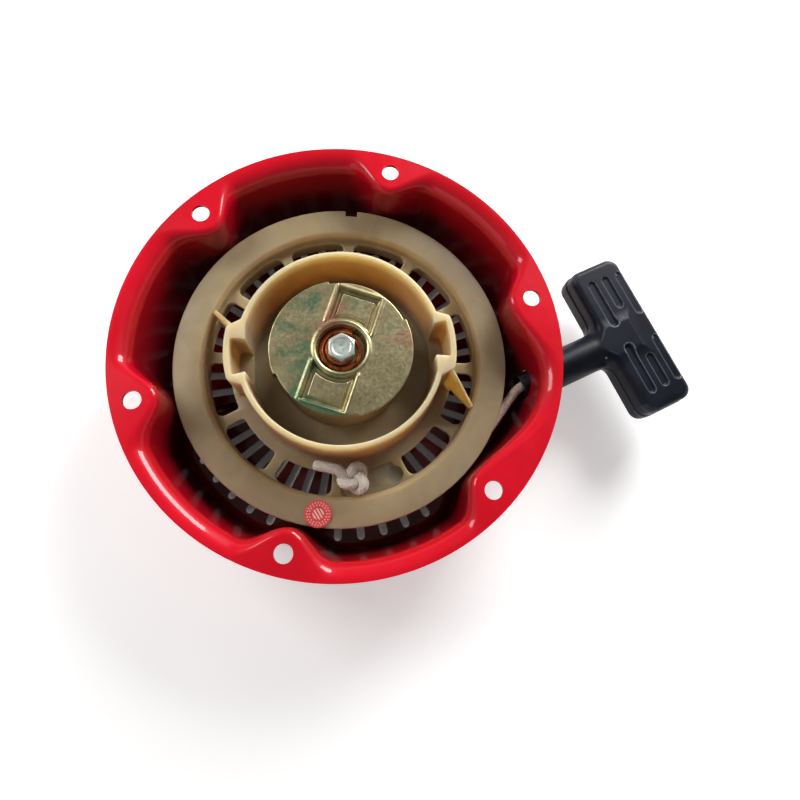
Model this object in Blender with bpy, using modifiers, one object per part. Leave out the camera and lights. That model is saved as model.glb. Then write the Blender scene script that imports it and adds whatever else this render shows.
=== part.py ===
"""Recoil starter for a small engine: a pressed steel housing lying on its back, a rope reel with two pawls,
a friction plate under one centre bolt, a spiral return spring, and a rope that ends in a T handle.

Frame: +Z is the reel's axis and points out of the open side, towards the engine. Z = 0 is the outer face of
the housing's back. +X is the side that the rope leaves from. All sizes below are in millimetres.
"""
import math

import bpy
import bmesh
from mathutils import Matrix, Vector

MM = 0.001
GAP = 0.3

# Housing
RIM_R = 113.5
HEIGHT = 58.0
SHEET = 1.5
HUB_FACE_R = 38.0
BACK_STEP = 1.5
BAY_TOP_R = 105.3
BAY_FOOT_R = 101.5
PAD_TOP_R = 92.6
PAD_FOOT_R = 92.2
FOOT_BEND = 9.0
BAY_FLARE = 8.0
PAD_FLARE = 3.0
HOLE_CIRCLE_R = 103.0
HOLE_D = 9.0
HOLE_PHASE = 15.4
PAD_HALF_WIDTHS = {0: (13.5, 24.0), 5: (34.0, 12.0)}
PAD_HALF_WIDTH = 13.5
HOUSING_STEPS = 72
SLOT_COUNT = 45
SLOT_WIDTH = 4.3
SLOT_INNER_R = 54.0
SLOT_OUTER_R = 95.5
SLOT_SHORT_R = 82.5

# Centre post and what it carries
POST_FOOT_R = 15.0
POST_SHOULDER_Z = 16.8
POST_R = 10.0
POST_NECK_R = 7.5
POST_NECK_Z = 44.0
POST_TOP_Z = 47.4
BOLT_R = 4.0
BOLT_HEAD_AF = 13.0
BOLT_HEAD_Z = 52.7
BOLT_LENGTH = 20.0
BOLT_TURN = 30.0

# Reel
REEL_R = 89.0
FLANGE_TOP_Z = 36.8
FLANGE_LOW_Z = 19.5
FLANGE_SHEET = 2.0
DRUM_R = 76.0
DRUM_WALL = 2.8
CUP_R = 52.4
CUP_WALL = 2.7
CUP_TOP_Z = 57.7
CUP_FLOOR_Z = 21.5
WEB_Z = 29.5
WEB_LOW_Z = 26.5
CHAMBER_R = 50.0
PLATFORM_R = 33.0
PLATFORM_Z = 42.0
REEL_STEPS = 60
SPOKES = 12
SPOKE_PHASE = -2.4
SPOKE_WIDTH = 5.6
CLOSED_WINDOW = 9
EAR_R = 58.0
EAR_ANGLES = (-13.0, 19.0)
EAR_POCKET_R = 55.4
EAR_POCKET_ANGLES = (-4.5, 15.5)
WINDOW_R = (60.5, 72.6)
RIB_ENDS = ((56.5, -11.5), (74.8, -21.5))
NOTCH_ANGLES = (84.8, 89.2)
NOTCH_DEPTH = 3.5
STICKER_R = 7.0
STICKER_AT = (82.3, -98.3)

# Pawls and friction plate
PAWL_PIVOT_R = 24.0
PAWL_PIVOT_ANGLE = -20.0
PAWL_LENGTH = 23.0
PIN_R = 3.5
PAWL_LOW_Z = 42.4
PAWL_TOP_Z = 50.8
PAWL_SPRING_R = 5.0
PAWL_SPRING_Z = 40.1
PAWL_SPRING_PITCH = 0.85
PAWL_SPRING_STEPS = 20
PAWL_WIRE_R = 0.35
PLATE_TOP_Z = 56.5
PLATE_SHEET = 1.5
PLATE_R = 36.5
PLATE_STEP = 1.3
PLATE_STEPS_AT = (25.5, 100.7, 202.9, 283.7)
RECESS_R = 12.8
RECESS_FLOOR_Z = 49.3
POCKET_ANGLE = 72.0
POCKET_R = (16.5, 31.0)
POCKET_WIDTH = 22.0
POCKET_DEPTH = 2.5
LUG_R = 2.0
SPRING_WIRE_R = 1.25
SPRING_START = 60.0
LUG_CIRCLE_R = 22.17
LUG_ANGLE = 19.1

# Rope, guide and handle; the pull frame has its origin where the rope bends and +X along the pull
ROPE_R = 2.65
ROPE_Z = 31.0
LEAD_TANGENT_R = 85.5
COIL_OUTER_R = 82.4
PULL_ANGLE = 24.5
BEND_POINT = (96.5, -14.5)
GUIDE_R = 7.0
GUIDE_BORE_R = 4.2
GUIDE_END = 17.0
NECK_START = 17.8
NECK_R = 10.5
BAR_CENTRE = 70.2
BAR_SIZE = (32.0, 91.0, 20.0)
KNOT_CAVITY_R = 8.0
KNOT_CAVITY_START = 74.0


def clear_scene():
    """Empty the file of objects."""
    for obj in list(bpy.data.objects):
        bpy.data.objects.remove(obj, do_unlink=True)


def new_collection(name):
    """Make a collection in the scene."""
    collection = bpy.data.collections.new(name)
    bpy.context.scene.collection.children.link(collection)
    return collection


clear_scene()
PARTS = new_collection("recoil_starter")
CUTTERS = new_collection("cutters")


def material(name, color, roughness, metallic):
    """One Principled material."""
    mat = bpy.data.materials.new(name)
    mat.use_nodes = True
    shader = mat.node_tree.nodes["Principled BSDF"]
    shader.inputs["Base Color"].default_value = (*color, 1.0)
    shader.inputs["Roughness"].default_value = roughness
    shader.inputs["Metallic"].default_value = metallic
    return mat


RED_PAINT = ("red_enamel", (0.55, 0.008, 0.02), 0.25, 0.0)
NYLON = ("beige_nylon", (0.48, 0.38, 0.24), 0.5, 0.0)
ZINC = ("yellow_zinc", (0.45, 0.42, 0.3), 0.35, 1.0)
STEEL = ("plain_steel", (0.5, 0.5, 0.5), 0.4, 1.0)
BLUE_ZINC = ("blue_zinc", (0.55, 0.6, 0.62), 0.35, 1.0)
SPRING_STEEL = ("spring_steel", (0.3, 0.3, 0.33), 0.35, 1.0)
COPPER = ("copper_spring", (0.5, 0.2, 0.08), 0.35, 1.0)
ROPE = ("braided_rope", (0.75, 0.62, 0.55), 0.8, 0.0)
RUBBER = ("black_rubber", (0.012, 0.014, 0.02), 0.45, 0.0)
STICKER = ("red_sticker", (0.7, 0.05, 0.04), 0.5, 0.0)


def add_object(name, data, collection=PARTS, finish=None, parent=None):
    """Link an object to its collection, and give it its own material and its parent empty."""
    obj = bpy.data.objects.new(name, data)
    collection.objects.link(obj)
    obj.parent = parent
    if finish:
        data.materials.append(material(f"{name}_{finish[0]}", *finish[1:]))
    if collection is CUTTERS:
        obj.hide_render = True
        obj.display_type = "WIRE"
    return obj


def axis_empty(name, x, y, z, angle_deg=0.0, parent=None):
    """An empty on a joint's axis."""
    empty = add_object(name, None, parent=parent)
    empty.location = (x * MM, y * MM, z * MM)
    empty.rotation_euler = (0.0, 0.0, math.radians(angle_deg))
    return empty


def polar(radius, angle_deg):
    """A point in the plane, in millimetres."""
    angle = math.radians(angle_deg)
    return (radius * math.cos(angle), radius * math.sin(angle))


def arc(radius, start_deg, end_deg, steps, centre=(0.0, 0.0)):
    """Points along an arc, both ends included."""
    points = []
    for i in range(steps + 1):
        x, y = polar(radius, start_deg + (end_deg - start_deg) * i / steps)
        points.append((centre[0] + x, centre[1] + y))
    return points


def turned(name, profile, steps, **where):
    """A closed profile of (radius, height) turned about Z; it runs down the outer side."""
    mesh = bpy.data.meshes.new(name)
    count = len(profile)
    closed = all(radius > 0.0 for radius, _ in profile)
    edges = [(i, (i + 1) % count) for i in range(count if closed else count - 1)]
    mesh.from_pydata([(r * MM, 0.0, z * MM) for r, z in profile], edges, [])
    obj = add_object(name, mesh, **where)
    screw = obj.modifiers.new("turn", "SCREW")
    screw.axis = "Z"
    screw.angle = math.tau
    screw.steps = steps
    screw.render_steps = steps
    screw.use_merge_vertices = True
    screw.merge_threshold = 0.00001
    screw.use_smooth_shade = False
    return obj


def cylinder(name, radius, low, high, x=0.0, y=0.0, segments=24, **where):
    """An upright cylinder."""
    bm = bmesh.new()
    bmesh.ops.create_cone(bm, cap_ends=True, segments=segments, radius1=radius * MM, radius2=radius * MM,
                          depth=(high - low) * MM)
    bmesh.ops.translate(bm, verts=bm.verts, vec=(x * MM, y * MM, (low + high) / 2 * MM))
    mesh = bpy.data.meshes.new(name)
    bm.to_mesh(mesh)
    bm.free()
    return add_object(name, mesh, **where)


def flat_solid(name, outlines, low, high, **where):
    """Flat outlines in XY, filled and given a thickness from low to high."""
    curve = bpy.data.curves.new(name + "_outline", "CURVE")
    curve.dimensions = "2D"
    curve.fill_mode = "BOTH"
    curve.extrude = (high - low) / 2 * MM
    for outline in outlines:
        spline = curve.splines.new("POLY")
        spline.points.add(len(outline) - 1)
        for point, (x, y) in zip(spline.points, outline):
            point.co = (x * MM, y * MM, 0.0, 1.0)
        spline.use_cyclic_u = True
    drawn = add_object(name + "_outline", curve, CUTTERS)
    evaluated = drawn.evaluated_get(bpy.context.evaluated_depsgraph_get())
    mesh = bpy.data.meshes.new_from_object(evaluated)
    bpy.data.objects.remove(drawn)
    bm = bmesh.new()
    bm.from_mesh(mesh)
    bmesh.ops.remove_doubles(bm, verts=bm.verts, dist=0.000001)
    bmesh.ops.recalc_face_normals(bm, faces=bm.faces)
    bmesh.ops.translate(bm, verts=bm.verts, vec=(0.0, 0.0, (low + high) / 2 * MM))
    bm.to_mesh(mesh)
    bm.free()
    mesh.name = name
    return add_object(name, mesh, **where)


def wire(name, points, radius, **where):
    """A round wire or rope along points in millimetres."""
    curve = bpy.data.curves.new(name, "CURVE")
    curve.dimensions = "3D"
    curve.bevel_depth = radius * MM
    curve.bevel_resolution = 2
    curve.use_fill_caps = True
    spline = curve.splines.new("POLY")
    spline.points.add(len(points) - 1)
    for point, place in zip(spline.points, points):
        point.co = (*(Vector(place[:3]) * MM), 1.0)
        point.radius = place[3] if len(place) > 3 else 1.0
    return add_object(name, curve, **where)


def boolean(obj, other, operation):
    """Cut another shape from an object, or join it on."""
    modifier = obj.modifiers.new(other.name, "BOOLEAN")
    modifier.object = other
    modifier.operation = operation
    modifier.solver = "EXACT"


def pad_weight(angle_deg, spread):
    """How far the wall stands in at an angle: 1 in the middle of a bolt pad and 0 in the bays between."""
    weight = 0.0
    for i in range(6):
        ccw, cw = PAD_HALF_WIDTHS.get(i, (PAD_HALF_WIDTH, PAD_HALF_WIDTH))
        offset = (angle_deg - HOLE_PHASE - 60.0 * i + 180.0) % 360.0 - 180.0
        reach = (ccw if offset > 0 else cw) * spread
        if abs(offset) < reach:
            weight = max(weight, 0.5 + 0.5 * math.cos(math.pi * offset / reach))
    return weight


def housing_section(angle_deg):
    """Outer side of the housing at one angle, from the back's centre out to the rim."""
    pad = pad_weight(angle_deg, 1.0)
    top = BAY_TOP_R + (PAD_TOP_R - BAY_TOP_R) * pad
    flare = BAY_FLARE + (PAD_FLARE - BAY_FLARE) * pad
    foot = BAY_FOOT_R + (PAD_FOOT_R - BAY_FOOT_R) * pad_weight(angle_deg, 1.1)
    bend = foot - FOOT_BEND
    flat = HEIGHT - SHEET
    section = [(HUB_FACE_R, 0.0), (HUB_FACE_R + 1.5, BACK_STEP), (bend, BACK_STEP)]
    section += [(bend + FOOT_BEND * math.sin(t), BACK_STEP + FOOT_BEND * (1 - math.cos(t)))
                for t in (math.radians(35), math.radians(65))]
    section += [(foot + (top - foot) * 0.02, BACK_STEP + FOOT_BEND + 1.0)]
    section += [(top + flare * (1 - math.cos(t)), flat - flare * (1 - math.sin(t)))
                for t in (0.0, math.radians(30), math.radians(60), math.pi / 2)]
    section.append((RIM_R, flat))
    return section


def make_housing():
    """Pressed bowl: a loft round the axis whose wall runs in at each bolt pad, then given its thickness."""
    mesh = bpy.data.meshes.new("housing")
    bm = bmesh.new()
    rings = []
    for i in range(HOUSING_STEPS):
        angle = 360.0 * i / HOUSING_STEPS
        ring = []
        for radius, height in housing_section(angle):
            x, y = polar(radius, angle)
            ring.append(bm.verts.new((x * MM, y * MM, height * MM)))
        rings.append(ring)
    for i, ring in enumerate(rings):
        following = rings[(i + 1) % HOUSING_STEPS]
        for j in range(len(ring) - 1):
            bm.faces.new((ring[j], following[j], following[j + 1], ring[j + 1]))
    bm.faces.new([ring[0] for ring in reversed(rings)])
    bm.to_mesh(mesh)
    bm.free()
    housing = add_object("housing", mesh, finish=RED_PAINT)
    shell = housing.modifiers.new("sheet", "SOLIDIFY")
    shell.thickness = SHEET * MM
    shell.offset = -1.0
    shell.use_even_offset = True

    slots = []
    for i in range(SLOT_COUNT):
        angle = 360.0 * (i + 0.5) / SLOT_COUNT
        outer = SLOT_SHORT_R if pad_weight(angle, 0.9) > 0.03 else SLOT_OUTER_R
        half = SLOT_WIDTH / 2
        ends = arc(half, -90, 90, 3, (outer - half, 0.0)) + arc(half, 90, 270, 3, (SLOT_INNER_R + half, 0.0))
        turn = Matrix.Rotation(math.radians(angle), 2)
        slots.append([turn @ Vector(point) for point in ends])
    boolean(housing, flat_solid("back_slots", slots, -1.0, 5.0, collection=CUTTERS), "DIFFERENCE")
    holes = [arc(HOLE_D / 2, 0, 345, 23, polar(HOLE_CIRCLE_R, HOLE_PHASE + 60 * i)) for i in range(6)]
    boolean(housing, flat_solid("rim_holes", holes, HEIGHT - 4, HEIGHT + 2, collection=CUTTERS), "DIFFERENCE")
    rope_hole = cylinder("rope_hole", GUIDE_R + GAP, -2.0, 20.0, collection=CUTTERS, parent=PULL_AXIS)
    rope_hole.rotation_euler = (0.0, math.pi / 2, 0.0)
    boolean(housing, rope_hole, "DIFFERENCE")


def make_post():
    """Steel post welded to the back: the reel turns on it and the bolt screws into its end."""
    bore = BOLT_R + GAP
    profile = [
        (0.0, BOLT_HEAD_Z - BOLT_LENGTH - 1.0), (bore, BOLT_HEAD_Z - BOLT_LENGTH - 1.0), (bore, POST_TOP_Z),
        (POST_NECK_R, POST_TOP_Z), (POST_NECK_R, POST_NECK_Z), (POST_R, POST_NECK_Z),
        (POST_R, POST_SHOULDER_Z), (POST_FOOT_R, POST_SHOULDER_Z), (POST_FOOT_R, SHEET + GAP),
        (0.0, SHEET + GAP),
    ]
    turned("centre_post", profile, 32, finish=STEEL)


def make_return_spring():
    """Spiral band that winds up under the reel."""
    turns = 6
    per_turn = 18
    first = POST_FOOT_R + 1.0
    last = CHAMBER_R - 2.5
    low = SHEET + 2.9
    height = 12.5
    mesh = bpy.data.meshes.new("return_spring")
    bm = bmesh.new()
    pairs = []
    for i in range(turns * per_turn + 1):
        part = i / (turns * per_turn)
        x, y = polar(first + (last - first) * part, 360.0 * turns * part)
        pairs.append([bm.verts.new((x * MM, y * MM, z * MM)) for z in (low, low + height)])
    for a, b in zip(pairs, pairs[1:]):
        bm.faces.new((a[0], b[0], b[1], a[1]))
    bm.to_mesh(mesh)
    bm.free()
    spring = add_object("return_spring", mesh, finish=SPRING_STEEL)
    band = spring.modifiers.new("band", "SOLIDIFY")
    band.thickness = 0.8 * MM
    band.offset = 0.0


def sector(inner, outer, start, end, steps):
    """Outline of a ring sector."""
    return arc(outer, start, end, steps) + arc(inner, end, start, steps)


def make_reel(parent):
    """Moulded reel: a cup for the pawls, a spoked web, the rope groove and the spring chamber below."""
    hub = POST_R + GAP
    cup_inner = CUP_R - CUP_WALL
    low_top = FLANGE_LOW_Z + FLANGE_SHEET
    groove_top = FLANGE_TOP_Z - FLANGE_SHEET
    wall_inner = DRUM_R - DRUM_WALL
    profile = [
        (hub, POST_NECK_Z - 0.2), (14.0, POST_NECK_Z - 0.2), (14.0, PLATFORM_Z), (PLATFORM_R, PLATFORM_Z),
        (PLATFORM_R + 0.6, CUP_FLOOR_Z), (cup_inner - 0.6, CUP_FLOOR_Z), (cup_inner, CUP_TOP_Z),
        (CUP_R, CUP_TOP_Z), (CUP_R + 0.8, WEB_Z), (wall_inner, WEB_Z), (wall_inner, groove_top),
        (wall_inner + 2.0, FLANGE_TOP_Z), (REEL_R, FLANGE_TOP_Z), (REEL_R, groove_top),
        (DRUM_R + 1.5, groove_top), (DRUM_R, groove_top - 1.2), (DRUM_R, low_top + 1.2),
        (DRUM_R + 1.5, low_top), (REEL_R - 0.5, low_top), (REEL_R - 0.5, FLANGE_LOW_Z),
        (wall_inner, FLANGE_LOW_Z), (wall_inner, WEB_LOW_Z), (CHAMBER_R + 2.6, WEB_LOW_Z),
        (CHAMBER_R + 2.6, 3.6), (CHAMBER_R, 3.6), (CHAMBER_R, CUP_FLOOR_Z - 2.5),
        (PLATFORM_R - 2.5, CUP_FLOOR_Z - 2.5), (PLATFORM_R - 2.5, PLATFORM_Z - 6.0),
        (14.0, PLATFORM_Z - 6.0), (13.4, POST_SHOULDER_Z + 0.4), (hub, POST_SHOULDER_Z + 0.4),
    ]
    reel = turned("reel", profile, REEL_STEPS, finish=NYLON, parent=parent)
    where = {"collection": CUTTERS, "parent": parent}
    for side in (0, 180):
        low, high = EAR_ANGLES
        ear = flat_solid(f"ear_{side}", [sector(CUP_R - 1.0, EAR_R, side + low, side + high, 5)],
                         WEB_Z - 1.0, CUP_TOP_Z, **where)
        boolean(reel, ear, "UNION")
        rib_outline = [(0, 0), (19.4, 0), (20.4, 7.6), (20.4, 8.8), (0, 28.6)]
        rib = flat_solid(f"rib_{side}", [rib_outline], -1.0, 1.0, **where)
        start, end = (Vector((*polar(radius, side + angle), 0.0)) for radius, angle in RIB_ENDS)
        along = (end - start).normalized()
        across = Vector((0, 0, 1)).cross(along)
        axes = Matrix((along, Vector((0, 0, 1)), -across)).transposed().to_4x4()
        rib.matrix_local = Matrix.Translation((start + Vector((0, 0, WEB_Z - 1.0))) * MM) @ axes
        boolean(reel, rib, "UNION")
        x, y = polar(PAWL_PIVOT_R, PAWL_PIVOT_ANGLE + side)
        pin = cylinder(f"pin_{side}", PIN_R, PLATFORM_Z - 4.0, PAWL_TOP_Z - 0.4, x, y, 16, **where)
        boolean(reel, pin, "UNION")
    for side in (0, 180):
        low, high = EAR_POCKET_ANGLES
        hollow = sector(cup_inner - 2.0, EAR_POCKET_R, side + low, side + high, 4)
        pocket = flat_solid(f"ear_pocket_{side}", [hollow], WEB_Z + 1.5, CUP_TOP_Z + 2.0, **where)
        boolean(reel, pocket, "DIFFERENCE")
        x, y = polar(PAWL_PIVOT_R, PAWL_PIVOT_ANGLE + side)
        ring = arc(7.0, 0, 345, 15, (x, y))
        seat = flat_solid(f"spring_seat_{side}", [ring, arc(PIN_R, 0, 337.5, 15, (x, y))],
                          PLATFORM_Z - 2.6, PLATFORM_Z + 1.0, **where)
        boolean(reel, seat, "DIFFERENCE")
    windows = []
    for i in range(SPOKES):
        if i == CLOSED_WINDOW:
            continue
        start = SPOKE_PHASE + 360.0 / SPOKES * i
        inner, outer = WINDOW_R
        trim_in = math.degrees(SPOKE_WIDTH / 2 / inner)
        trim_out = math.degrees(SPOKE_WIDTH / 2 / outer)
        windows.append(arc(outer, start + trim_out, start + 30 - trim_out, 4)
                       + arc(inner, start + 30 - trim_in, start + trim_in, 4))
    boolean(reel, flat_solid("windows", windows, WEB_LOW_Z - 3.0, WEB_Z + 2.0, **where), "DIFFERENCE")
    notch_outline = sector(REEL_R - NOTCH_DEPTH, REEL_R + 2, *NOTCH_ANGLES, 2)
    notch = flat_solid("flange_notch", [notch_outline], groove_top - 1.0, FLANGE_TOP_Z + 1.0, **where)
    boolean(reel, notch, "DIFFERENCE")
    return reel


def make_rope(reel_axis):
    """Rope: the wound turns, the lead to the handle, and the knot that stops the inner end."""
    top = FLANGE_TOP_Z - FLANGE_SHEET - GAP
    low = FLANGE_LOW_Z + FLANGE_SHEET + GAP
    inner = DRUM_R + GAP
    turned("rope_coil", [(inner, top - 1.5), (inner + 1.5, top), (COIL_OUTER_R - 1.5, top),
                         (COIL_OUTER_R, top - 1.5), (COIL_OUTER_R, low + 1.5), (COIL_OUTER_R - 1.5, low),
                         (inner + 1.5, low), (inner, low + 1.5)],
           48, finish=ROPE, parent=reel_axis)
    bend = Vector((*BEND_POINT, ROPE_Z))
    distance = bend.to_2d().length
    bend_angle = math.degrees(math.atan2(bend.y, bend.x))
    tangent_angle = bend_angle - math.degrees(math.acos(LEAD_TANGENT_R / distance))
    points = []
    for i in range(7):
        x, y = polar(LEAD_TANGENT_R, tangent_angle - 36.0 + 6.0 * i)
        points.append((x, y, ROPE_Z))
    pull = Vector((*polar(1.0, PULL_ANGLE), 0.0))
    tangent = Vector(points[-1])
    into = (bend - tangent).normalized()
    points += [tuple(bend - into * back) for back in (26.0, 14.0, 5.0)]
    points += [tuple(bend - into * 2.2 + pull * 0.8), tuple(bend + pull * 2.2 - into * 0.8)]
    points += [tuple(bend + pull * ahead) for ahead in (5.0, 11.0, GUIDE_END)]
    wire("rope_lead", points, ROPE_R, finish=ROPE)

    places = [(58.8, -103.4, 39.4, 0.9), (59.0, -98.5, 40.0, 1.0), (60.4, -93.4, 39.6, 1.1),
              (62.2, -90.0, 38.6, 2.0), (64.0, -86.6, 38.0, 2.7), (65.4, -82.9, 38.0, 2.8),
              (66.8, -79.6, 38.0, 2.1), (67.6, -77.4, 38.0, 0.9)]
    knot = [(*polar(radius, angle), height, swell) for radius, angle, height, swell in places]
    wire("rope_knot", knot, ROPE_R, finish=ROPE, parent=reel_axis)


def make_pawl(number, reel_axis):
    """Pawl on its pin, with the torsion spring below it that folds it in."""
    side = 180.0 * (number - 1)
    x, y = polar(PAWL_PIVOT_R, PAWL_PIVOT_ANGLE + side)
    pivot = axis_empty(f"pawl_{number}_axis", x, y, 0.0, PAWL_PIVOT_ANGLE + side, reel_axis)
    outline = arc(6.2, 170, 345, 7)
    outline += [(5.2, 4.0), (4.6, 12.0), (6.2, 19.0), (5.0, PAWL_LENGTH), (-1.5, PAWL_LENGTH)]
    outline += [(-4.4, 19.0), (-4.5, 8.0)]
    bore = arc(PIN_R + GAP, 0, 337.5, 15)
    flat_solid(f"pawl_{number}", [outline, bore], PAWL_LOW_Z, PAWL_TOP_Z, finish=STEEL, parent=pivot)
    coil = []
    for i in range(2 * PAWL_SPRING_STEPS + 1):
        turns = i / PAWL_SPRING_STEPS
        coil.append((*polar(PAWL_SPRING_R, 360.0 * turns), PAWL_SPRING_Z + PAWL_SPRING_PITCH * turns))
    spring = wire(f"pawl_spring_{number}", coil, PAWL_WIRE_R, finish=SPRING_STEEL, parent=reel_axis)
    spring.location = (x * MM, y * MM, 0.0)


def make_friction_plate(parent):
    """Pressed plate: stepped rim, round centre recess, two square pockets and two guide lugs below."""
    outline = []
    borders = list(PLATE_STEPS_AT) + [PLATE_STEPS_AT[0] + 360.0]
    for i, (start, end) in enumerate(zip(borders, borders[1:])):
        outline += arc(PLATE_R if i % 2 else PLATE_R - PLATE_STEP, start, end - 0.5, 12)
    low = PLATE_TOP_Z - PLATE_SHEET
    plate = flat_solid("friction_plate", [outline], low, PLATE_TOP_Z, finish=ZINC, parent=parent)
    where = {"collection": CUTTERS, "parent": parent}
    boolean(plate, cylinder("recess_cup", RECESS_R + PLATE_SHEET, RECESS_FLOOR_Z - PLATE_SHEET, low + 0.5,
                            segments=36, **where), "UNION")
    for side in (0, 180):
        pocket_low, pocket_high = POCKET_R
        half = POCKET_WIDTH / 2
        turn = Matrix.Rotation(math.radians(POCKET_ANGLE + side), 2)
        for name, grow in (("pan", PLATE_SHEET), ("hollow", 0.0)):
            box = [(pocket_low - grow, -half - grow), (pocket_high + grow * 0.8, -half - grow),
                   (pocket_high + grow * 0.8, half + grow), (pocket_low - grow, half + grow)]
            bottom = PLATE_TOP_Z - POCKET_DEPTH - grow
            top = low + 0.5 if name == "pan" else PLATE_TOP_Z + 1.0
            turned_box = [turn @ Vector(corner) for corner in box]
            shape = flat_solid(f"pocket_{name}_{side}", [turned_box], bottom, top, **where)
            boolean(plate, shape, "UNION" if name == "pan" else "DIFFERENCE")
        x, y = polar(LUG_CIRCLE_R, LUG_ANGLE + side)
        lug = cylinder(f"lug_{side}", LUG_R, PAWL_LOW_Z + 2.2, low + 0.5, x, y, 12, **where)
        boolean(plate, lug, "UNION")
    hollow = cylinder("recess_hollow", RECESS_R, RECESS_FLOOR_Z, PLATE_TOP_Z + 1.0, segments=36, **where)
    boolean(plate, hollow, "DIFFERENCE")
    hole = cylinder("recess_hole", BOLT_R + 0.9, 40.0, PLATE_TOP_Z, segments=20, **where)
    boolean(plate, hole, "DIFFERENCE")


def make_centre_stack():
    """Thrust washer over the reel's hub, the conical friction spring and the centre bolt."""
    low = POST_NECK_Z + GAP
    turned("thrust_washer", [(POST_NECK_R + GAP, low + 1.6), (13.2, low + 1.6), (13.2, low),
                             (POST_NECK_R + GAP, low)], 28, finish=STEEL)
    coil = []
    for i in range(49):
        part = i / 48
        x, y = polar(10.8 - 4.8 * part, SPRING_START + 630.0 * part)
        coil.append((x, y, RECESS_FLOOR_Z + 1.35 + 0.6 * part))
    wire("friction_spring", coil, SPRING_WIRE_R, finish=COPPER)
    bolt = cylinder("centre_bolt", BOLT_HEAD_AF / 2 / math.cos(math.pi / 6), BOLT_HEAD_Z, HEIGHT, segments=6,
                    finish=BLUE_ZINC)
    bolt.rotation_euler = (0.0, 0.0, math.radians(BOLT_TURN))
    shank = cylinder("shank", BOLT_R, BOLT_HEAD_Z - BOLT_LENGTH, BOLT_HEAD_Z + 1.0, segments=20,
                     collection=CUTTERS)
    boolean(bolt, shank, "UNION")


def on_pull_axis(obj):
    """Turn an object's own Z onto the pull direction."""
    obj.rotation_euler = (0.0, math.pi / 2, 0.0)
    return obj


def make_rope_guide():
    """Bush pressed through the side wall that the rope runs through."""
    lip_r = 9.4
    lip_start = GUIDE_END - 1.8
    profile = [
        (GUIDE_BORE_R + 1.4, 1.0), (GUIDE_BORE_R, 3.0), (GUIDE_BORE_R, GUIDE_END - 1.6),
        (GUIDE_BORE_R + 1.0, GUIDE_END), (lip_r, GUIDE_END), (lip_r, lip_start), (GUIDE_R, lip_start),
        (GUIDE_R, 1.0),
    ]
    on_pull_axis(turned("rope_guide", profile, 24, finish=STEEL, parent=PULL_AXIS))


def make_handle():
    """T handle with the rope through its neck and the stopper knot in a pocket in its outer face."""
    bm = bmesh.new()
    bmesh.ops.create_cube(bm, size=1.0, matrix=Matrix.Diagonal((*(Vector(BAR_SIZE) * MM), 1.0)))
    bmesh.ops.translate(bm, verts=bm.verts, vec=(BAR_CENTRE * MM, 0.0, 0.0))
    mesh = bpy.data.meshes.new("handle_grip")
    bm.to_mesh(mesh)
    bm.free()
    grip = add_object("handle_grip", mesh, finish=RUBBER, parent=HANDLE_AXIS)
    bevel = grip.modifiers.new("round", "BEVEL")
    bevel.width = 5.5 * MM
    bevel.segments = 3
    where = {"collection": CUTTERS, "parent": HANDLE_AXIS}
    neck = on_pull_axis(cylinder("neck", NECK_R, NECK_START, BAR_CENTRE, segments=24, **where))
    boolean(grip, neck, "UNION")
    bore = on_pull_axis(cylinder("rope_bore", ROPE_R + 0.5, NECK_START - 2.0, 100.0, segments=16, **where))
    boolean(grip, bore, "DIFFERENCE")
    pocket = cylinder("knot_pocket", KNOT_CAVITY_R, KNOT_CAVITY_START, 100.0, segments=20, **where)
    cavity = on_pull_axis(pocket)
    boolean(grip, cavity, "DIFFERENCE")
    inner = KNOT_CAVITY_START + GAP
    washer = [(ROPE_R + 0.5, inner + 1.5), (KNOT_CAVITY_R - GAP, inner + 1.5), (KNOT_CAVITY_R - GAP, inner),
              (ROPE_R + 0.5, inner)]
    on_pull_axis(turned("knot_washer", washer, 20, finish=STEEL, parent=HANDLE_AXIS))
    knot = [(NECK_START - 0.5, 0, 0, 1.0), (36.0, 0, 0, 1.0), (56.0, 0, 0, 1.0), (75.9, 0, 0, 1.0),
            (76.3, 0, 0, 1.5), (77.6, 0, 0, 2.3), (80.0, 0, 0, 2.6), (82.4, 0, 0, 2.3), (84.0, 0, 0, 1.5),
            (84.6, 0, 0, 0.8)]
    wire("handle_rope", knot, ROPE_R, finish=ROPE, parent=HANDLE_AXIS)


PULL_AXIS = axis_empty("pull_axis", *BEND_POINT, ROPE_Z, PULL_ANGLE)
HANDLE_AXIS = axis_empty("handle_axis", *BEND_POINT, ROPE_Z, PULL_ANGLE)
REEL_AXIS = axis_empty("reel_axis", 0.0, 0.0, 0.0)
PLATE_AXIS = axis_empty("friction_plate_axis", 0.0, 0.0, 0.0, parent=REEL_AXIS)

make_housing()
make_post()
make_return_spring()
make_reel(REEL_AXIS)
make_rope(REEL_AXIS)
make_pawl(1, REEL_AXIS)
make_pawl(2, REEL_AXIS)
make_friction_plate(PLATE_AXIS)
make_centre_stack()
make_rope_guide()
make_handle()
sticker_low = FLANGE_TOP_Z + GAP
cylinder("inspection_sticker", STICKER_R, sticker_low, sticker_low + 0.3, *polar(*STICKER_AT), segments=20,
         finish=STICKER, parent=REEL_AXIS)
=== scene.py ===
import math

import bpy
import bmesh
import numpy as np
from mathutils import Matrix, Vector


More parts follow.
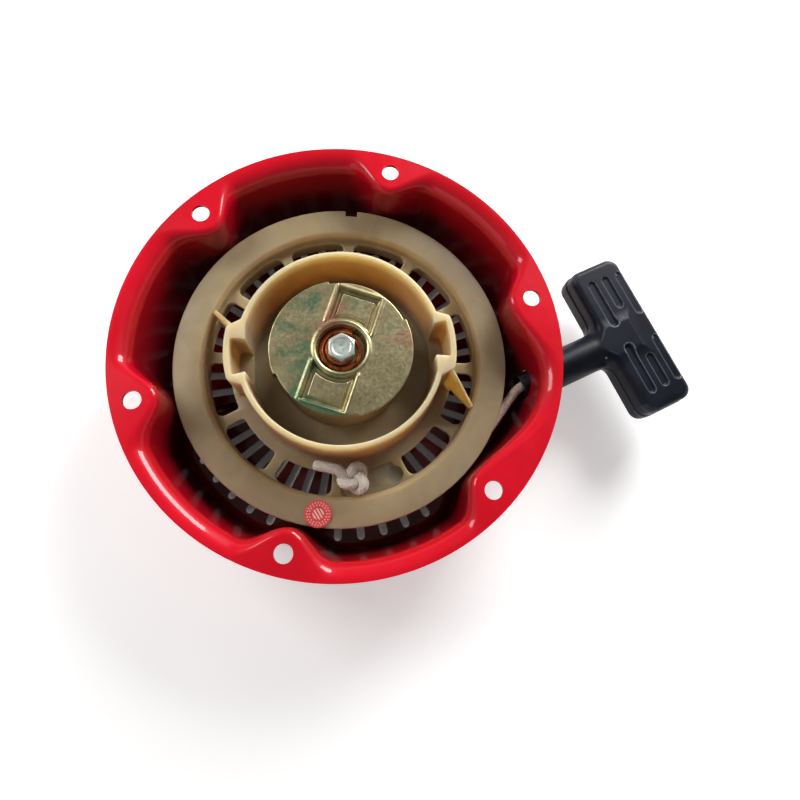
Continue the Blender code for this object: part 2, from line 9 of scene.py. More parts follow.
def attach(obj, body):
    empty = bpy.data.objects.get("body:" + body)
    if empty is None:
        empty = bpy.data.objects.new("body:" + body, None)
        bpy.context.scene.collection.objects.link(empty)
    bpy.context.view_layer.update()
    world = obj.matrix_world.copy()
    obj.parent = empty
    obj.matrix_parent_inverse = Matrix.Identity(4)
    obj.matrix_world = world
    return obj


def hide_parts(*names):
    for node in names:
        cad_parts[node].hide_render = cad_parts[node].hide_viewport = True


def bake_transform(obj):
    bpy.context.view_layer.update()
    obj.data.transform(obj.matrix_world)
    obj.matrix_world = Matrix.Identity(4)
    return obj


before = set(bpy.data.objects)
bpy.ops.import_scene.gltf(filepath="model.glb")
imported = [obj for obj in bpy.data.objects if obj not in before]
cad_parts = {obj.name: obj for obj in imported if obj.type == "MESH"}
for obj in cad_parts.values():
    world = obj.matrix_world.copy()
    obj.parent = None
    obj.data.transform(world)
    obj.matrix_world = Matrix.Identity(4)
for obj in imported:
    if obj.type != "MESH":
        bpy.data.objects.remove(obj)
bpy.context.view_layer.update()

# Driving sizes, in millimetres, in the frame of the CAD model
MM = 0.001
HEIGHT = 58.0
RIM_R = 113.5
SHEET = 1.5
HUB_FACE_R = 38.0
BACK_STEP = 1.5
BAY_TOP_R = 105.3
BAY_FOOT_R = 101.5
PAD_TOP_R = 92.6
PAD_FOOT_R = 92.2
FOOT_BEND = 9.0
BAY_FLARE = 8.0
PAD_FLARE = 2.0
HOLE_CIRCLE_R = 103.0
HOLE_D = 9.0
HOLE_PHASE = 15.4
PAD_HALF_WIDTHS = {0: (13.5, 24.0), 5: (34.0, 12.0)}
PAD_HALF_WIDTH = 13.5
SLOT_COUNT = 45
SLOT_WIDTH = 4.3
SLOT_INNER_R = 54.0
SLOT_OUTER_R = 95.5
SLOT_SHORT_R = 82.5
POST_R = 10.0
POST_NECK_Z = 44.0
POST_SHOULDER_Z = 16.8
REEL_R = 89.0
FLANGE_TOP_Z = 36.8
FLANGE_LOW_Z = 19.5
FLANGE_SHEET = 2.0
DRUM_R = 76.0
DRUM_WALL = 2.8
CUP_R = 52.4
CUP_WALL = 2.7
CUP_TOP_Z = 57.7
CUP_FLOOR_Z = 21.5
WEB_Z = 29.5
WEB_LOW_Z = 26.5
CHAMBER_R = 50.0
PLATFORM_R = 33.0
PLATFORM_Z = 42.0
SPOKES = 12
SPOKE_PHASE = -2.4
SPOKE_WIDTH = 5.6
WINDOW_R = (60.5, 72.6)
CLOSED_WINDOW = 9
EAR_R = 58.4
EAR_ANGLES = (-10.6, 17.4)
EAR_POCKET_R = 55.5
EAR_POCKET_ANGLES = (-4.8, 15.6)
PAWL_PIVOT_R = 24.0
PAWL_PIVOT_ANGLE = -20.0
PIN_R = 3.5
PAWL_TOP_Z = 50.8
PLATE_TOP_Z = 56.5
PLATE_SHEET = 1.5
PLATE_R = 36.5
PLATE_STEP = 1.3
PLATE_STEPS_AT = (25.5, 100.7, 202.9, 283.7)
RECESS_R = 12.6
RECESS_FLOOR_Z = 49.3
POCKET_ANGLE = 72.0
POCKET_R = (16.5, 31.0)
POCKET_WIDTH = 22.0
POCKET_DEPTH = 2.5
BOLT_R = 4.0
BOLT_AF = 13.0
BOLT_HEAD_Z = 52.7
BOLT_TURN = 30.0
ROPE_R = 2.65
ROPE_Z = 31.0
LEAD_TANGENT_R = 85.5
PULL_ANGLE = 24.5
BEND_POINT = (96.5, -14.5)
GUIDE_R = 7.0
GUIDE_BORE_R = 4.2
GUIDE_END = 17.0
NECK_START = 17.8
NECK_R = 10.5
BAR_CENTRE = 70.2
BAR_SIZE = (32.0, 91.0, 20.0)
KNOT_CAVITY_R = 8.0
KNOT_CAVITY_START = 74.0
NOTCH_ANGLES = (84.8, 89.2)
NOTCH_DEPTH = 3.5
SCOOP_ANGLE = -65.6
STICKER_R = 7.0
LUG_R = 2.0
LUG_CIRCLE_R = 22.17
LUG_ANGLE = 19.1
PAWL_LENGTH = 23.0
PAWL_LOW_Z = 42.4
RIB_START = (56.5, -11.5)
RIB_END = (74.8, -21.5)
SPRING_WIRE_R = 1.25
SPRING_COIL_R = (10.8, 6.0)
SPRING_START = 60.0
SPRING_SWEEP = 630.0
WOUND_R = DRUM_R + 3.0
WOUND_LOW_Z = 24.6
WOUND_RISE = 6.4
WOUND_STEPS = 52
WOUND_ROPE_R = 2.6
KNOT_SCALE = 2.15
KNOT_ROPE_R = 2.8
KNOT_AT = (64.4, -84.4)
KNOT_Z = 37.2
TAIL_PLACES = [(58.8, -104.4, 39.8), (58.8, -100.0, 40.4), (59.2, -95.6, 40.6), (60.4, -91.4, 40.0)]
GROOVE_HALF = 1.7
GROOVE_DEPTH = 0.9
GROOVES = [(64.4, 9.5, 34.0), (73.2, 18.0, 33.5), (82.0, 10.5, 33.0),
           (64.4, -32.5, -7.0), (73.2, -32.0, -16.5), (82.0, -31.5, -8.5)]
CAMERA_AT = (8.31, -89.74, 323.5)
CAMERA_AXES = ((0.9972, -0.0189, 0.0728), (0.0018, 0.9737, 0.2279), (-0.0751, -0.2271, 0.971))
CAMERA_LENS = 24.945
PULL = Matrix.Translation((*BEND_POINT, ROPE_Z)) @ Matrix.Rotation(math.radians(PULL_ANGLE), 4, "Z")


# Geometry helpers

def polar(radius, angle_deg):
    """A point in the plane."""
    angle = math.radians(angle_deg)
    return (radius * math.cos(angle), radius * math.sin(angle))


def arc(radius, start_deg, end_deg, steps, centre=(0.0, 0.0)):
    """Points along an arc, both ends included."""
    points = []
    for i in range(steps + 1):
        x, y = polar(radius, start_deg + (end_deg - start_deg) * i / steps)
        points.append((centre[0] + x, centre[1] + y))
    return points


def smooth(x):
    """Smooth step from 0 to 1, for numbers and arrays."""
    t = np.clip(x, 0.0, 1.0)
    return t * t * (3.0 - 2.0 * t)


def rounded(points, steps=4, closed=True):
    """Replace each corner (x, y, radius) of an outline by an arc of that radius."""
    result = []
    count = len(points)
    for i, corner in enumerate(points):
        here = Vector(corner[:2])
        radius = corner[2] if len(corner) > 2 else 0.0
        if not closed and i in (0, count - 1):
            result.append(tuple(here))
            continue
        before = Vector(points[i - 1][:2]) - here
        after = Vector(points[(i + 1) % count][:2]) - here
        half = before.angle(after) / 2
        if radius <= 0.0 or half > math.radians(89.5):
            result += [tuple(here)] * (steps + 1 if radius > 0.0 else 1)
            continue
        back = min(radius / math.tan(half), before.length * 0.49, after.length * 0.49)
        reach = back * math.tan(half)
        centre = here + (before.normalized() + after.normalized()).normalized() * math.hypot(back, reach)
        first = here + before.normalized() * back - centre
        last = here + after.normalized() * back - centre
        for k in range(steps + 1):
            part = k / steps
            turn = first.normalized().slerp(last.normalized(), part) * reach
            result.append(tuple(centre + turn))
    return result


def add_object(name, data):
    """A new object in the scene."""
    obj = bpy.data.objects.new(name, data)
    bpy.context.scene.collection.objects.link(obj)
    return obj


def mesh_object(name, vertices, faces):
    """An object in metres from points in millimetres."""
    mesh = bpy.data.meshes.new(name)
    mesh.from_pydata([tuple(v) for v in np.asarray(vertices, float) * MM], [], faces)
    mesh.validate()
    return add_object(name, mesh)


def grid_faces(rows, columns, wrap_rows=False, wrap_columns=False):
    """Quads over a grid of points numbered row by row."""
    faces = []
    for i in range(rows if wrap_rows else rows - 1):
        for j in range(columns if wrap_columns else columns - 1):
            a, b = i * columns + j, i * columns + (j + 1) % columns
            c, d = (i + 1) % rows * columns + (j + 1) % columns, (i + 1) % rows * columns + j
            faces.append((a, b, c, d))
    return faces


def turned(name, profile, steps):
    """A closed outline of (radius, height) turned about Z."""
    profile = np.array([p[:2] for p in profile])
    angles = np.arange(steps) * math.tau / steps
    points = np.stack([np.outer(np.cos(angles), profile[:, 0]), np.outer(np.sin(angles), profile[:, 0]),
                       np.outer(np.ones(steps), profile[:, 1])], axis=2)
    obj = mesh_object(name, points.reshape(-1, 3), grid_faces(steps, len(profile), True, True))
    return face_outward(obj)


def face_outward(obj):
    """Make the faces of a closed mesh point out."""
    bm = bmesh.new()
    bm.from_mesh(obj.data)
    bmesh.ops.remove_doubles(bm, verts=bm.verts, dist=0.0000005)
    bmesh.ops.recalc_face_normals(bm, faces=bm.faces)
    if bm.calc_volume(signed=True) < 0.0:
        bmesh.ops.reverse_faces(bm, faces=bm.faces)
    bm.to_mesh(obj.data)
    bm.free()
    return obj


def curve_object(name, curve):
    """A mesh object from a curve that has a thickness."""
    drawn = add_object(name, curve)
    mesh = bpy.data.meshes.new_from_object(drawn.evaluated_get(bpy.context.evaluated_depsgraph_get()))
    bpy.data.objects.remove(drawn)
    return add_object(name, mesh)


def flat_solid(name, outlines, low, high, edge=0.0):
    """Flat outlines in XY filled and given a thickness, with rounded edges if edge is above 0."""
    curve = bpy.data.curves.new(name, "CURVE")
    curve.dimensions = "2D"
    curve.fill_mode = "BOTH"
    curve.extrude = ((high - low) / 2 - edge) * MM
    curve.bevel_depth = edge * MM
    curve.bevel_resolution = 2
    curve.offset = -edge * MM
    for outline in outlines:
        spline = curve.splines.new("POLY")
        spline.points.add(len(outline) - 1)
        for point, (x, y) in zip(spline.points, outline):
            point.co = (x * MM, y * MM, 0.0, 1.0)
        spline.use_cyclic_u = True
    obj = curve_object(name, curve)
    obj.data.transform(Matrix.Translation((0.0, 0.0, (low + high) / 2 * MM)))
    return face_outward(obj)


def cylinder(name, radius, low, high, x=0.0, y=0.0, segments=64):
    """An upright cylinder, for joining and cutting."""
    return flat_solid(name, [arc(radius, 0, 360 - 360 / segments, segments - 1, (x, y))], low, high)


def place(obj, matrix):
    """Move a piece's mesh by a matrix whose shift is in millimetres."""
    metres = matrix.copy()
    metres.translation = matrix.translation * MM
    obj.data.transform(metres)
    return obj


def apply_modifiers(obj):
    """Turn what the modifiers show into the mesh."""
    evaluated = obj.evaluated_get(bpy.context.evaluated_depsgraph_get())
    mesh = bpy.data.meshes.new_from_object(evaluated)
    obj.modifiers.clear()
    obj.data = mesh
    return obj


def boolean(obj, others, operation):
    """Cut other shapes from a piece, or join them on, one after another."""
    for other in others:
        modifier = obj.modifiers.new(other.name, "BOOLEAN")
        modifier.object = other
        modifier.operation = operation
        modifier.solver = "EXACT"
    apply_modifiers(obj)
    for other in others:
        bpy.data.objects.remove(other)
    return obj


def add_bevel(obj, width, angle):
    """A modifier that rounds the edges sharper than an angle."""
    bevel = obj.modifiers.new("bevel", "BEVEL")
    bevel.width = width * MM
    bevel.segments = 2
    bevel.limit_method = "ANGLE"
    bevel.angle_limit = math.radians(angle)


def soften(obj, width, angle):
    """Round the sharp edges of a piece for good."""
    add_bevel(obj, width, angle)
    return apply_modifiers(obj)


def shade(obj, angle=32.0):
    """Smooth shading with sharp edges kept."""
    obj.data.shade_smooth()
    obj.data.set_sharp_from_angle(angle=math.radians(angle))
    return obj


def finish_piece(obj, body, node, finish):
    """Ride on a CAD body, stand for a CAD node, and take a material."""
    obj.data.materials.clear()
    obj.data.materials.append(finish)
    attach(obj, body)
    if node:
        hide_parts(node)
    return obj


# Material helpers

class Finish:
    """A Principled material built node by node."""

    def __init__(self, name):
        self.material = bpy.data.materials.new(name)
        self.material.use_nodes = True
        self.tree = self.material.node_tree
        self.shader = self.tree.nodes["Principled BSDF"]
        self.place = self.node("ShaderNodeTexCoord").outputs["Object"]
        self.height = None

    def node(self, kind, inputs=None, **settings):
        """Add a node, set its properties, and link or set its inputs."""
        made = self.tree.nodes.new(kind)
        for key, value in settings.items():
            setattr(made, key, value)
        for key, value in (inputs or {}).items():
            self.feed(made.inputs[key], value)
        return made

    def feed(self, socket, value):
        """Link an output to a socket, or set the socket's value."""
        if isinstance(value, bpy.types.NodeSocket):
            self.tree.links.new(value, socket)
        else:
            socket.default_value = value

    def set(self, **values):
        """Set the shader's sockets: Base_Color stands for Base Color."""
        for key, value in values.items():
            self.feed(self.shader.inputs[key.replace("_", " ")], value)
        return self

    def math(self, operation, a, b=0.0):
        """One sum on two values."""
        made = self.node("ShaderNodeMath", operation=operation)
        self.feed(made.inputs[0], a)
        self.feed(made.inputs[1], b)
        return made.outputs[0]

    def times(self, a, b):
        """Two values multiplied."""
        return self.math("MULTIPLY", a, b)

    def distance(self, x, y):
        """Length of a flat vector."""
        return self.math("SQRT", self.math("ADD", self.times(x, x), self.times(y, y)))

    def noise(self, scale, detail=3.0, roughness=0.5, distortion=0.0, at=None):
        """Noise whose scale is in waves per millimetre."""
        inputs = {"Vector": at or self.place, "Scale": scale / MM, "Detail": detail, "Roughness": roughness,
                  "Distortion": distortion}
        return self.node("ShaderNodeTexNoise", inputs).outputs["Fac"]

    def ramp(self, value, low, high, out_low=0.0, out_high=1.0):
        """Stretch a range of a value to another range."""
        inputs = {"Value": value, "From Min": low, "From Max": high, "To Min": out_low, "To Max": out_high}
        return self.node("ShaderNodeMapRange", inputs).outputs["Result"]

    def mix(self, factor, a, b):
        """Mix two colours."""
        made = self.node("ShaderNodeMix", data_type="RGBA")
        self.feed(made.inputs["Factor"], factor)
        self.feed(made.inputs["A"], a)
        self.feed(made.inputs["B"], b)
        return made.outputs["Result"]

    def edges(self, low=0.52, high=0.6):
        """How much a point stands on an outer edge, from 0 to 1."""
        return self.ramp(self.node("ShaderNodeNewGeometry").outputs["Pointiness"], low, high)

    def hollows(self, reach, low=0.35, high=0.95):
        """How deep a point lies in a hollow, from 0 in the open to 1."""
        shut = self.node("ShaderNodeAmbientOcclusion", {"Distance": reach * MM}, samples=8).outputs["AO"]
        return self.ramp(shut, low, high, 1.0, 0.0)

    def bump(self, height, strength, depth):
        """Lay another bump over those already there; depth is in millimetres."""
        made = self.node("ShaderNodeBump", {"Height": height, "Strength": strength, "Distance": depth * MM})
        if self.height is not None:
            self.feed(made.inputs["Normal"], self.height)
        self.height = made.outputs["Normal"]
        self.feed(self.shader.inputs["Normal"], self.height)
        return self


def rgb(r, g, b):
    """An sRGB colour, 0 to 255, as a linear one."""
    linear = [c / 255 / 12.92 if c <= 10 else ((c / 255 + 0.055) / 1.055) ** 2.4 for c in (r, g, b)]
    return (*linear, 1.0)


def red_enamel():
    """Glossy enamel on pressed steel, with orange peel and specks of dust, and painted shade that darkens it
    deep in the bowl.
    """
    f = Finish("red_enamel")
    f.set(Metallic=0.0, Coat_Weight=0.6, Coat_Roughness=0.05, Specular_IOR_Level=0.15)
    tint = f.mix(f.ramp(f.noise(0.02, 4), 0.35, 0.65), rgb(204, 3, 28), rgb(222, 6, 36))
    dust = f.times(f.ramp(f.noise(0.9, 5, 0.7), 0.6, 0.8), 0.1)
    # Painted shade: the red is mixed towards dark red where the bowl is deep and closed in.
    darkened = f.mix(f.times(f.hollows(55.0, 0.35, 1.0), 0.9), tint, rgb(58, 6, 12))
    f.set(Base_Color=f.mix(dust, darkened, rgb(190, 70, 76)))
    f.set(Roughness=f.ramp(f.noise(0.15, 5, 0.65), 0.3, 0.75, 0.28, 0.44))
    f.bump(f.noise(0.35, 2, 0.4), 0.35, 0.06)
    f.bump(f.noise(0.05, 2, 0.4), 0.25, 0.25)
    return f.material


def beige_nylon():
    """Moulded nylon: satin, translucent, with flow marks and grime, and a painted highlight that makes it
    paler towards the cup's rim.
    """
    f = Finish("beige_nylon")
    flow = f.ramp(f.noise(0.03, 3, 0.55, 1.5), 0.3, 0.7)
    clean = f.mix(flow, rgb(168, 144, 110), rgb(182, 158, 122))
    grime = f.times(f.ramp(f.noise(0.25, 6, 0.7), 0.55, 0.85), 0.2)
    darkened = f.mix(grime, clean, rgb(128, 106, 78))
    height = f.node("ShaderNodeSeparateXYZ", {"Vector": f.place}).outputs[2]
    # Painted highlight: the colour turns pale cream towards the cup's rim, from 50 mm up to its top.
    painted_rim_light = f.ramp(height, 0.050, 0.0575, 0.0, 0.6)
    f.set(Base_Color=f.mix(painted_rim_light, darkened, rgb(232, 214, 178)))
    f.set(Roughness=f.ramp(f.noise(0.2, 4), 0.3, 0.7, 0.34, 0.5), Specular_IOR_Level=0.4)
    f.set(Subsurface_Weight=1.0, Subsurface_Radius=(1.0, 0.75, 0.35), Subsurface_Scale=0.015)
    f.bump(f.noise(1.6, 3, 0.6), 0.25, 0.03)
    f.bump(f.noise(0.12, 2), 0.3, 0.15)
    return f.material


def yellow_zinc():
    """Yellow chromate over zinc: olive gold with pink and green films, fine grain and scratches."""
    f = Finish("yellow_zinc")
    film = f.noise(0.035, 3, 0.55, 0.8)
    gold = f.mix(f.ramp(f.noise(0.09, 5, 0.6), 0.35, 0.65), rgb(176, 164, 124), rgb(204, 192, 150))
    green = f.mix(f.ramp(film, 0.54, 0.64, 0.0, 0.75), gold, rgb(92, 146, 112))
    pink = f.mix(f.ramp(film, 0.45, 0.36, 0.0, 0.65), green, rgb(192, 132, 116))
    grain = f.ramp(f.noise(2.2, 4, 0.7), 0.35, 0.7)
    f.set(Base_Color=f.mix(f.times(grain, 0.35), pink, rgb(104, 96, 70)), Metallic=1.0)
    f.set(Roughness=f.ramp(f.noise(0.6, 5, 0.7), 0.3, 0.7, 0.3, 0.48))
    f.bump(f.noise(1.8, 4, 0.7), 0.4, 0.035)
    brushed = {"Vector": f.place, "Scale": (0.25, 6.0, 1.0), "Rotation": (0, 0, 0.6)}
    stretched = f.node("ShaderNodeMapping", brushed)
    f.bump(f.noise(0.7, 2, 0.5, at=stretched.outputs[0]), 0.2, 0.02)
    return f.material


def plain_metal(name, low, high, roughness, grain=1.2, film=None, metallic=1.0):
    """Bare or plated metal with grain, stains and smudged gloss."""
    f = Finish(name)
    base = f.mix(f.ramp(f.noise(0.3, 5, 0.65), 0.35, 0.65), low, high)
    if film:
        base = f.mix(f.ramp(f.noise(0.12, 3), 0.5, 0.7, 0.0, 0.5), base, film)
    f.set(Base_Color=base, Metallic=metallic)
    f.set(Roughness=f.ramp(f.noise(0.5, 5, 0.7), 0.3, 0.7, roughness - 0.1, roughness + 0.12))
    f.bump(f.noise(grain, 4, 0.7), 0.3, 0.03)
    return f.material


def copper_lacquer():
    """Copper-brown spring wire under lacquer, with a mottled tint."""
    f = Finish("copper_lacquer")
    base = f.mix(f.ramp(f.noise(0.25, 4, 0.6), 0.35, 0.65), rgb(150, 62, 24), rgb(206, 112, 44))
    f.set(Base_Color=base, Metallic=0.85, Coat_Weight=0.5, Coat_Roughness=0.15)
    f.set(Roughness=f.ramp(f.noise(0.8, 4), 0.3, 0.7, 0.22, 0.42))
    f.bump(f.noise(1.5, 3, 0.6), 0.3, 0.03)
    return f.material


def black_rubber():
    """Moulded grip: blue black, satin, with a fine grain and a patchy painted highlight on the edges."""
    f = Finish("black_rubber")
    base = f.mix(f.ramp(f.noise(0.08, 4), 0.35, 0.7), rgb(8, 12, 23), rgb(17, 23, 38))
    # Painted highlight: the edges turn pale blue grey, in patches.
    painted_edge_highlight = f.times(f.edges(0.508, 0.54), f.ramp(f.noise(0.4, 5, 0.7), 0.2, 0.6, 0.4, 0.9))
    f.set(Base_Color=f.mix(painted_edge_highlight, base, rgb(128, 136, 152)), Specular_IOR_Level=0.2)
    f.set(Roughness=f.ramp(f.noise(0.5, 5, 0.65), 0.3, 0.7, 0.34, 0.48))
    f.bump(f.noise(2.4, 3, 0.6), 0.3, 0.04)
    f.bump(f.noise(0.15, 2), 0.2, 0.15)
    return f.material


BRAID_CELLS = 8
BRAID_PITCH = 2.1


def drawn_braid():
    """The same cord where it is drawn out of the starter: its braid is laid in place, so it can't stretch."""
    f = Finish("drawn_braid")
    turn = f.node("ShaderNodeMapping", {"Vector": f.place, "Rotation": (0.0, 0.0, math.radians(-PULL_ANGLE))})
    centre = Matrix.Rotation(math.radians(-PULL_ANGLE), 3, "Z") @ Vector((*BEND_POINT, ROPE_Z)) * MM
    along, side, up = f.node("ShaderNodeSeparateXYZ", {"Vector": turn.outputs[0]}).outputs
    around = f.math("ARCTAN2", f.math("SUBTRACT", up, centre.z), f.math("SUBTRACT", side, centre.y))
    cells = f.times(around, BRAID_CELLS / math.tau)
    picks = f.math("DIVIDE", along, BRAID_PITCH * MM)
    left = f.math("SINE", f.times(f.math("ADD", cells, picks), math.pi))
    right = f.math("SINE", f.times(f.math("SUBTRACT", cells, picks), math.pi))
    over = f.math("GREATER_THAN", f.times(left, right), 0.0)
    ridge_left = f.math("POWER", f.math("ABSOLUTE", left), 0.7)
    ridge_right = f.math("POWER", f.math("ABSOLUTE", right), 0.7)
    both = f.times(f.math("SUBTRACT", ridge_left, ridge_right), over)
    height = f.math("ADD", ridge_right, both)
    base = f.mix(f.ramp(f.noise(0.5, 4, 0.6), 0.35, 0.7), rgb(226, 200, 182), rgb(246, 232, 216))
    f.set(Base_Color=f.mix(f.ramp(height, 0.5, 0.1), base, rgb(140, 98, 78)))
    f.set(Roughness=0.75, Sheen_Weight=0.3, Specular_IOR_Level=0.3)
    f.bump(height, 0.9, 0.5)
    f.bump(f.noise(3.5, 3, 0.7), 0.6, 0.08)
    return f.material


def rope_braid(name, low_tint, high_tint):
    """Braided cord, cream with a pink cast: fibres across each strand, darker in the hollows between the
    strands.
    """
    f = Finish(name)
    low = f.hollows(0.5, 0.45, 0.9)
    fibre = f.noise(3.5, 3, 0.7)
    base = f.mix(f.ramp(f.noise(0.5, 4, 0.6), 0.35, 0.7), low_tint, high_tint)
    # The colour turns darker in the hollows between the strands.
    darkened = f.mix(f.times(low, 0.6), base, rgb(150, 112, 90))
    f.set(Base_Color=darkened, Roughness=0.75, Sheen_Weight=0.3, Sheen_Roughness=0.4, Specular_IOR_Level=0.3)
    f.set(Subsurface_Weight=0.1, Subsurface_Radius=(1.0, 0.6, 0.4), Subsurface_Scale=0.001)
    f.bump(fibre, 0.6, 0.08)
    return f.material


def sticker_print():
    """Red vinyl disc with two rings of pale dots round a few plain bars."""
    f = Finish("sticker_print")
    x, y, _ = (f.node("ShaderNodeSeparateXYZ", {"Vector": f.place}).outputs)
    dx = f.math("SUBTRACT", x, STICKER_AT[0] * MM)
    dy = f.math("SUBTRACT", y, STICKER_AT[1] * MM)
    radius = f.distance(dx, dy)
    turn = f.math("ARCTAN2", dy, dx)
    dots = 0.0
    for ring, count in ((5.6, 24), (4.4, 18)):
        off_ring = f.math("ABSOLUTE", f.math("SUBTRACT", radius, ring * MM))
        spot = f.math("COSINE", f.times(turn, float(count)))
        inside = f.times(f.ramp(off_ring, 0.45 * MM, 0.2 * MM), f.ramp(spot, 0.3, 0.7))
        dots = f.math("MAXIMUM", dots, inside)
    bar = f.math("PINGPONG", f.math("ADD", dx, f.times(dy, 0.6)), 0.9 * MM)
    bars = f.times(f.ramp(bar, 0.4 * MM, 0.55 * MM), f.ramp(radius, 2.9 * MM, 2.7 * MM))
    dots = f.math("MAXIMUM", dots, bars)
    red = f.mix(f.ramp(f.noise(0.6, 4), 0.3, 0.7), rgb(214, 60, 62), rgb(234, 86, 84))
    f.set(Base_Color=f.mix(f.times(dots, 0.85), red, rgb(246, 220, 206)))
    f.set(Roughness=0.42, Coat_Weight=0.25, Coat_Roughness=0.2)
    f.bump(f.noise(0.5, 3), 0.15, 0.05)
    return f.material


STICKER_AT = polar(82.3, -98.3)
RED = red_enamel()
NYLON = beige_nylon()
ZINC = yellow_zinc()
COPPER = copper_lacquer()
RUBBER = black_rubber()
ROPE = rope_braid("rope_braid", rgb(214, 184, 170), rgb(234, 214, 202))
# A paler copy of the rope's material for the knot: painted light, for the bright light that falls on the
# knot.
KNOT_ROPE = rope_braid("painted_lit_rope_braid", rgb(236, 224, 208), rgb(250, 244, 232))
DRAWN_ROPE = drawn_braid()
STICKER = sticker_print()
BLUE_ZINC = plain_metal("blue_zinc", rgb(196, 208, 196), rgb(226, 234, 224), 0.34, film=rgb(150, 180, 170),
                        metallic=0.7)
STEEL = plain_metal("turned_steel", rgb(138, 136, 132), rgb(176, 174, 170), 0.34)
# Steel painted dark grey for the guide: painted shade, as the bush sits in deep shade in the wall.
SHADE_DARK_STEEL = plain_metal("painted_shade_steel", rgb(44, 46, 50), rgb(78, 80, 84), 0.36)
HARD_STEEL = plain_metal("hardened_steel", rgb(92, 92, 96), rgb(130, 130, 134), 0.4, film=rgb(84, 70, 90))
SPRING_STEEL = plain_metal("spring_steel", rgb(78, 80, 90), rgb(112, 114, 124), 0.3)


# Housing

def pad_weight(angle_deg, spread):
    """How far the wall stands in at an angle: 1 in the middle of a bolt pad and 0 in the bays between."""
    weight = 0.0
    for i in range(6):
        ccw, cw = PAD_HALF_WIDTHS.get(i, (PAD_HALF_WIDTH, PAD_HALF_WIDTH))
        offset = (angle_deg - HOLE_PHASE - 60.0 * i + 180.0) % 360.0 - 180.0
        reach = (ccw if offset > 0 else cw) * spread
        if abs(offset) < reach:
            weight = max(weight, 0.5 + 0.5 * math.cos(math.pi * offset / reach))
    return weight


def housing_section(angle_deg):
    """Outer side of the pressed bowl at one angle, from the back out to the rim."""
    pad = pad_weight(angle_deg, 1.0)
    top = BAY_TOP_R + (PAD_TOP_R - BAY_TOP_R) * pad
    flare = BAY_FLARE + (PAD_FLARE - BAY_FLARE) * pad
    foot = BAY_FOOT_R + (PAD_FOOT_R - BAY_FOOT_R) * pad_weight(angle_deg, 1.1)
    flat = HEIGHT - SHEET
    corners = [(HUB_FACE_R - 14.0, 0.0), (HUB_FACE_R, 0.0, 1.2), (HUB_FACE_R + 1.5, BACK_STEP, 0.8),
               (foot - 12.0, BACK_STEP), (foot, BACK_STEP, FOOT_BEND), (top, flat - flare)]
    section = rounded([(x, y, r[0] if r else 0.0) for x, y, *r in corners], 10, closed=False)
    for i in range(1, 13):
        t = math.pi / 24 * i
        section.append((top + flare * (1 - math.cos(t)), flat - flare * (1 - math.sin(t))))
    return section + [(RIM_R, flat)]


def make_housing():
    """Pressed bowl with its pads, slots, bolt holes and the hole for the rope guide."""
    steps = 360
    rings = [housing_section(360.0 * i / steps) for i in range(steps)]
    points = []
    for i, ring in enumerate(rings):
        points += [(*polar(radius, 360.0 * i / steps), height) for radius, height in ring]
    faces = grid_faces(steps, len(rings[0]), wrap_rows=True)
    faces.append([i * len(rings[0]) for i in reversed(range(steps))])
    housing = mesh_object("pressed_housing", points, faces)
    sheet = housing.modifiers.new("sheet", "SOLIDIFY")
    sheet.thickness = SHEET * MM
    sheet.offset = 1.0
    sheet.use_even_offset = True
    slots = []
    for i in range(SLOT_COUNT):
        angle = 360.0 * (i + 0.5) / SLOT_COUNT
        outer = SLOT_SHORT_R if pad_weight(angle, 0.9) > 0.03 else SLOT_OUTER_R
        half = SLOT_WIDTH / 2
        ends = arc(half, -90, 90, 8, (outer - half, 0.0)) + arc(half, 90, 270, 8, (SLOT_INNER_R + half, 0.0))
        turn = Matrix.Rotation(math.radians(angle), 2)
        slots.append([turn @ Vector(point) for point in ends])
    holes = [arc(HOLE_D / 2, 0, 352.5, 47, polar(HOLE_CIRCLE_R, HOLE_PHASE + 60 * i)) for i in range(6)]
    rope_hole = cylinder("rope_hole", GUIDE_R + 0.3, -2.0, 22.0)
    place(rope_hole, PULL @ Matrix.Rotation(math.pi / 2, 4, "Y"))
    slot_cutter = flat_solid("slots", slots, -1.0, 5.0)
    hole_cutter = flat_solid("holes", holes, HEIGHT - 5, HEIGHT + 2)
    boolean(housing, [slot_cutter, hole_cutter, rope_hole], "DIFFERENCE")
    soften(housing, 0.3, 42)
    shade(housing, 50)
    finish_piece(housing, "root", "housing", RED)


# Reel

def sector(inner, outer, start, end, steps):
    """Outline of a ring sector."""
    return arc(outer, start, end, steps) + arc(inner, end, start, steps)


def ear_outline(side):
    """Outer wall of an ear: it swells out of the cup's wall with a fillet at each foot."""
    low, high = (side + angle for angle in EAR_ANGLES)
    inside = CUP_R - 1.2
    outline = [(*polar(inside, low - 8), 0.0), (*polar(CUP_R + 0.1, low - 5.2), 3.0),
               (*polar(EAR_R, low), 3.0)]
    outline += [(x, y, 0.0) for x, y in arc(EAR_R, low + 5, high - 5, 12)]
    outline += [(*polar(EAR_R, high), 3.0), (*polar(CUP_R + 0.1, high + 4.2), 3.0),
                (*polar(inside, high + 7), 0.0)]
    return rounded(outline, 6)


def window_outline(start, grow=0.0):
    """One window between two spokes, with rounded corners."""
    inner, outer = WINDOW_R[0] - grow, WINDOW_R[1] + grow
    trim_in = math.degrees((SPOKE_WIDTH / 2 - grow) / inner)
    trim_out = math.degrees((SPOKE_WIDTH / 2 - grow) / outer)
    outline = [(*polar(outer, start + trim_out), 4.0)]
    outline += [(x, y, 0.0) for x, y in arc(outer, start + trim_out + 7, start + 23 - trim_out, 6)]
    outline += [(*polar(outer, start + 30 - trim_out), 4.0), (*polar(inner, start + 30 - trim_in), 2.0)]
    outline += [(x, y, 0.0) for x, y in arc(inner, start + 25 - trim_in, start + trim_in + 5, 6)]
    outline += [(*polar(inner, start + trim_in), 2.0)]
    return rounded(outline, 5)


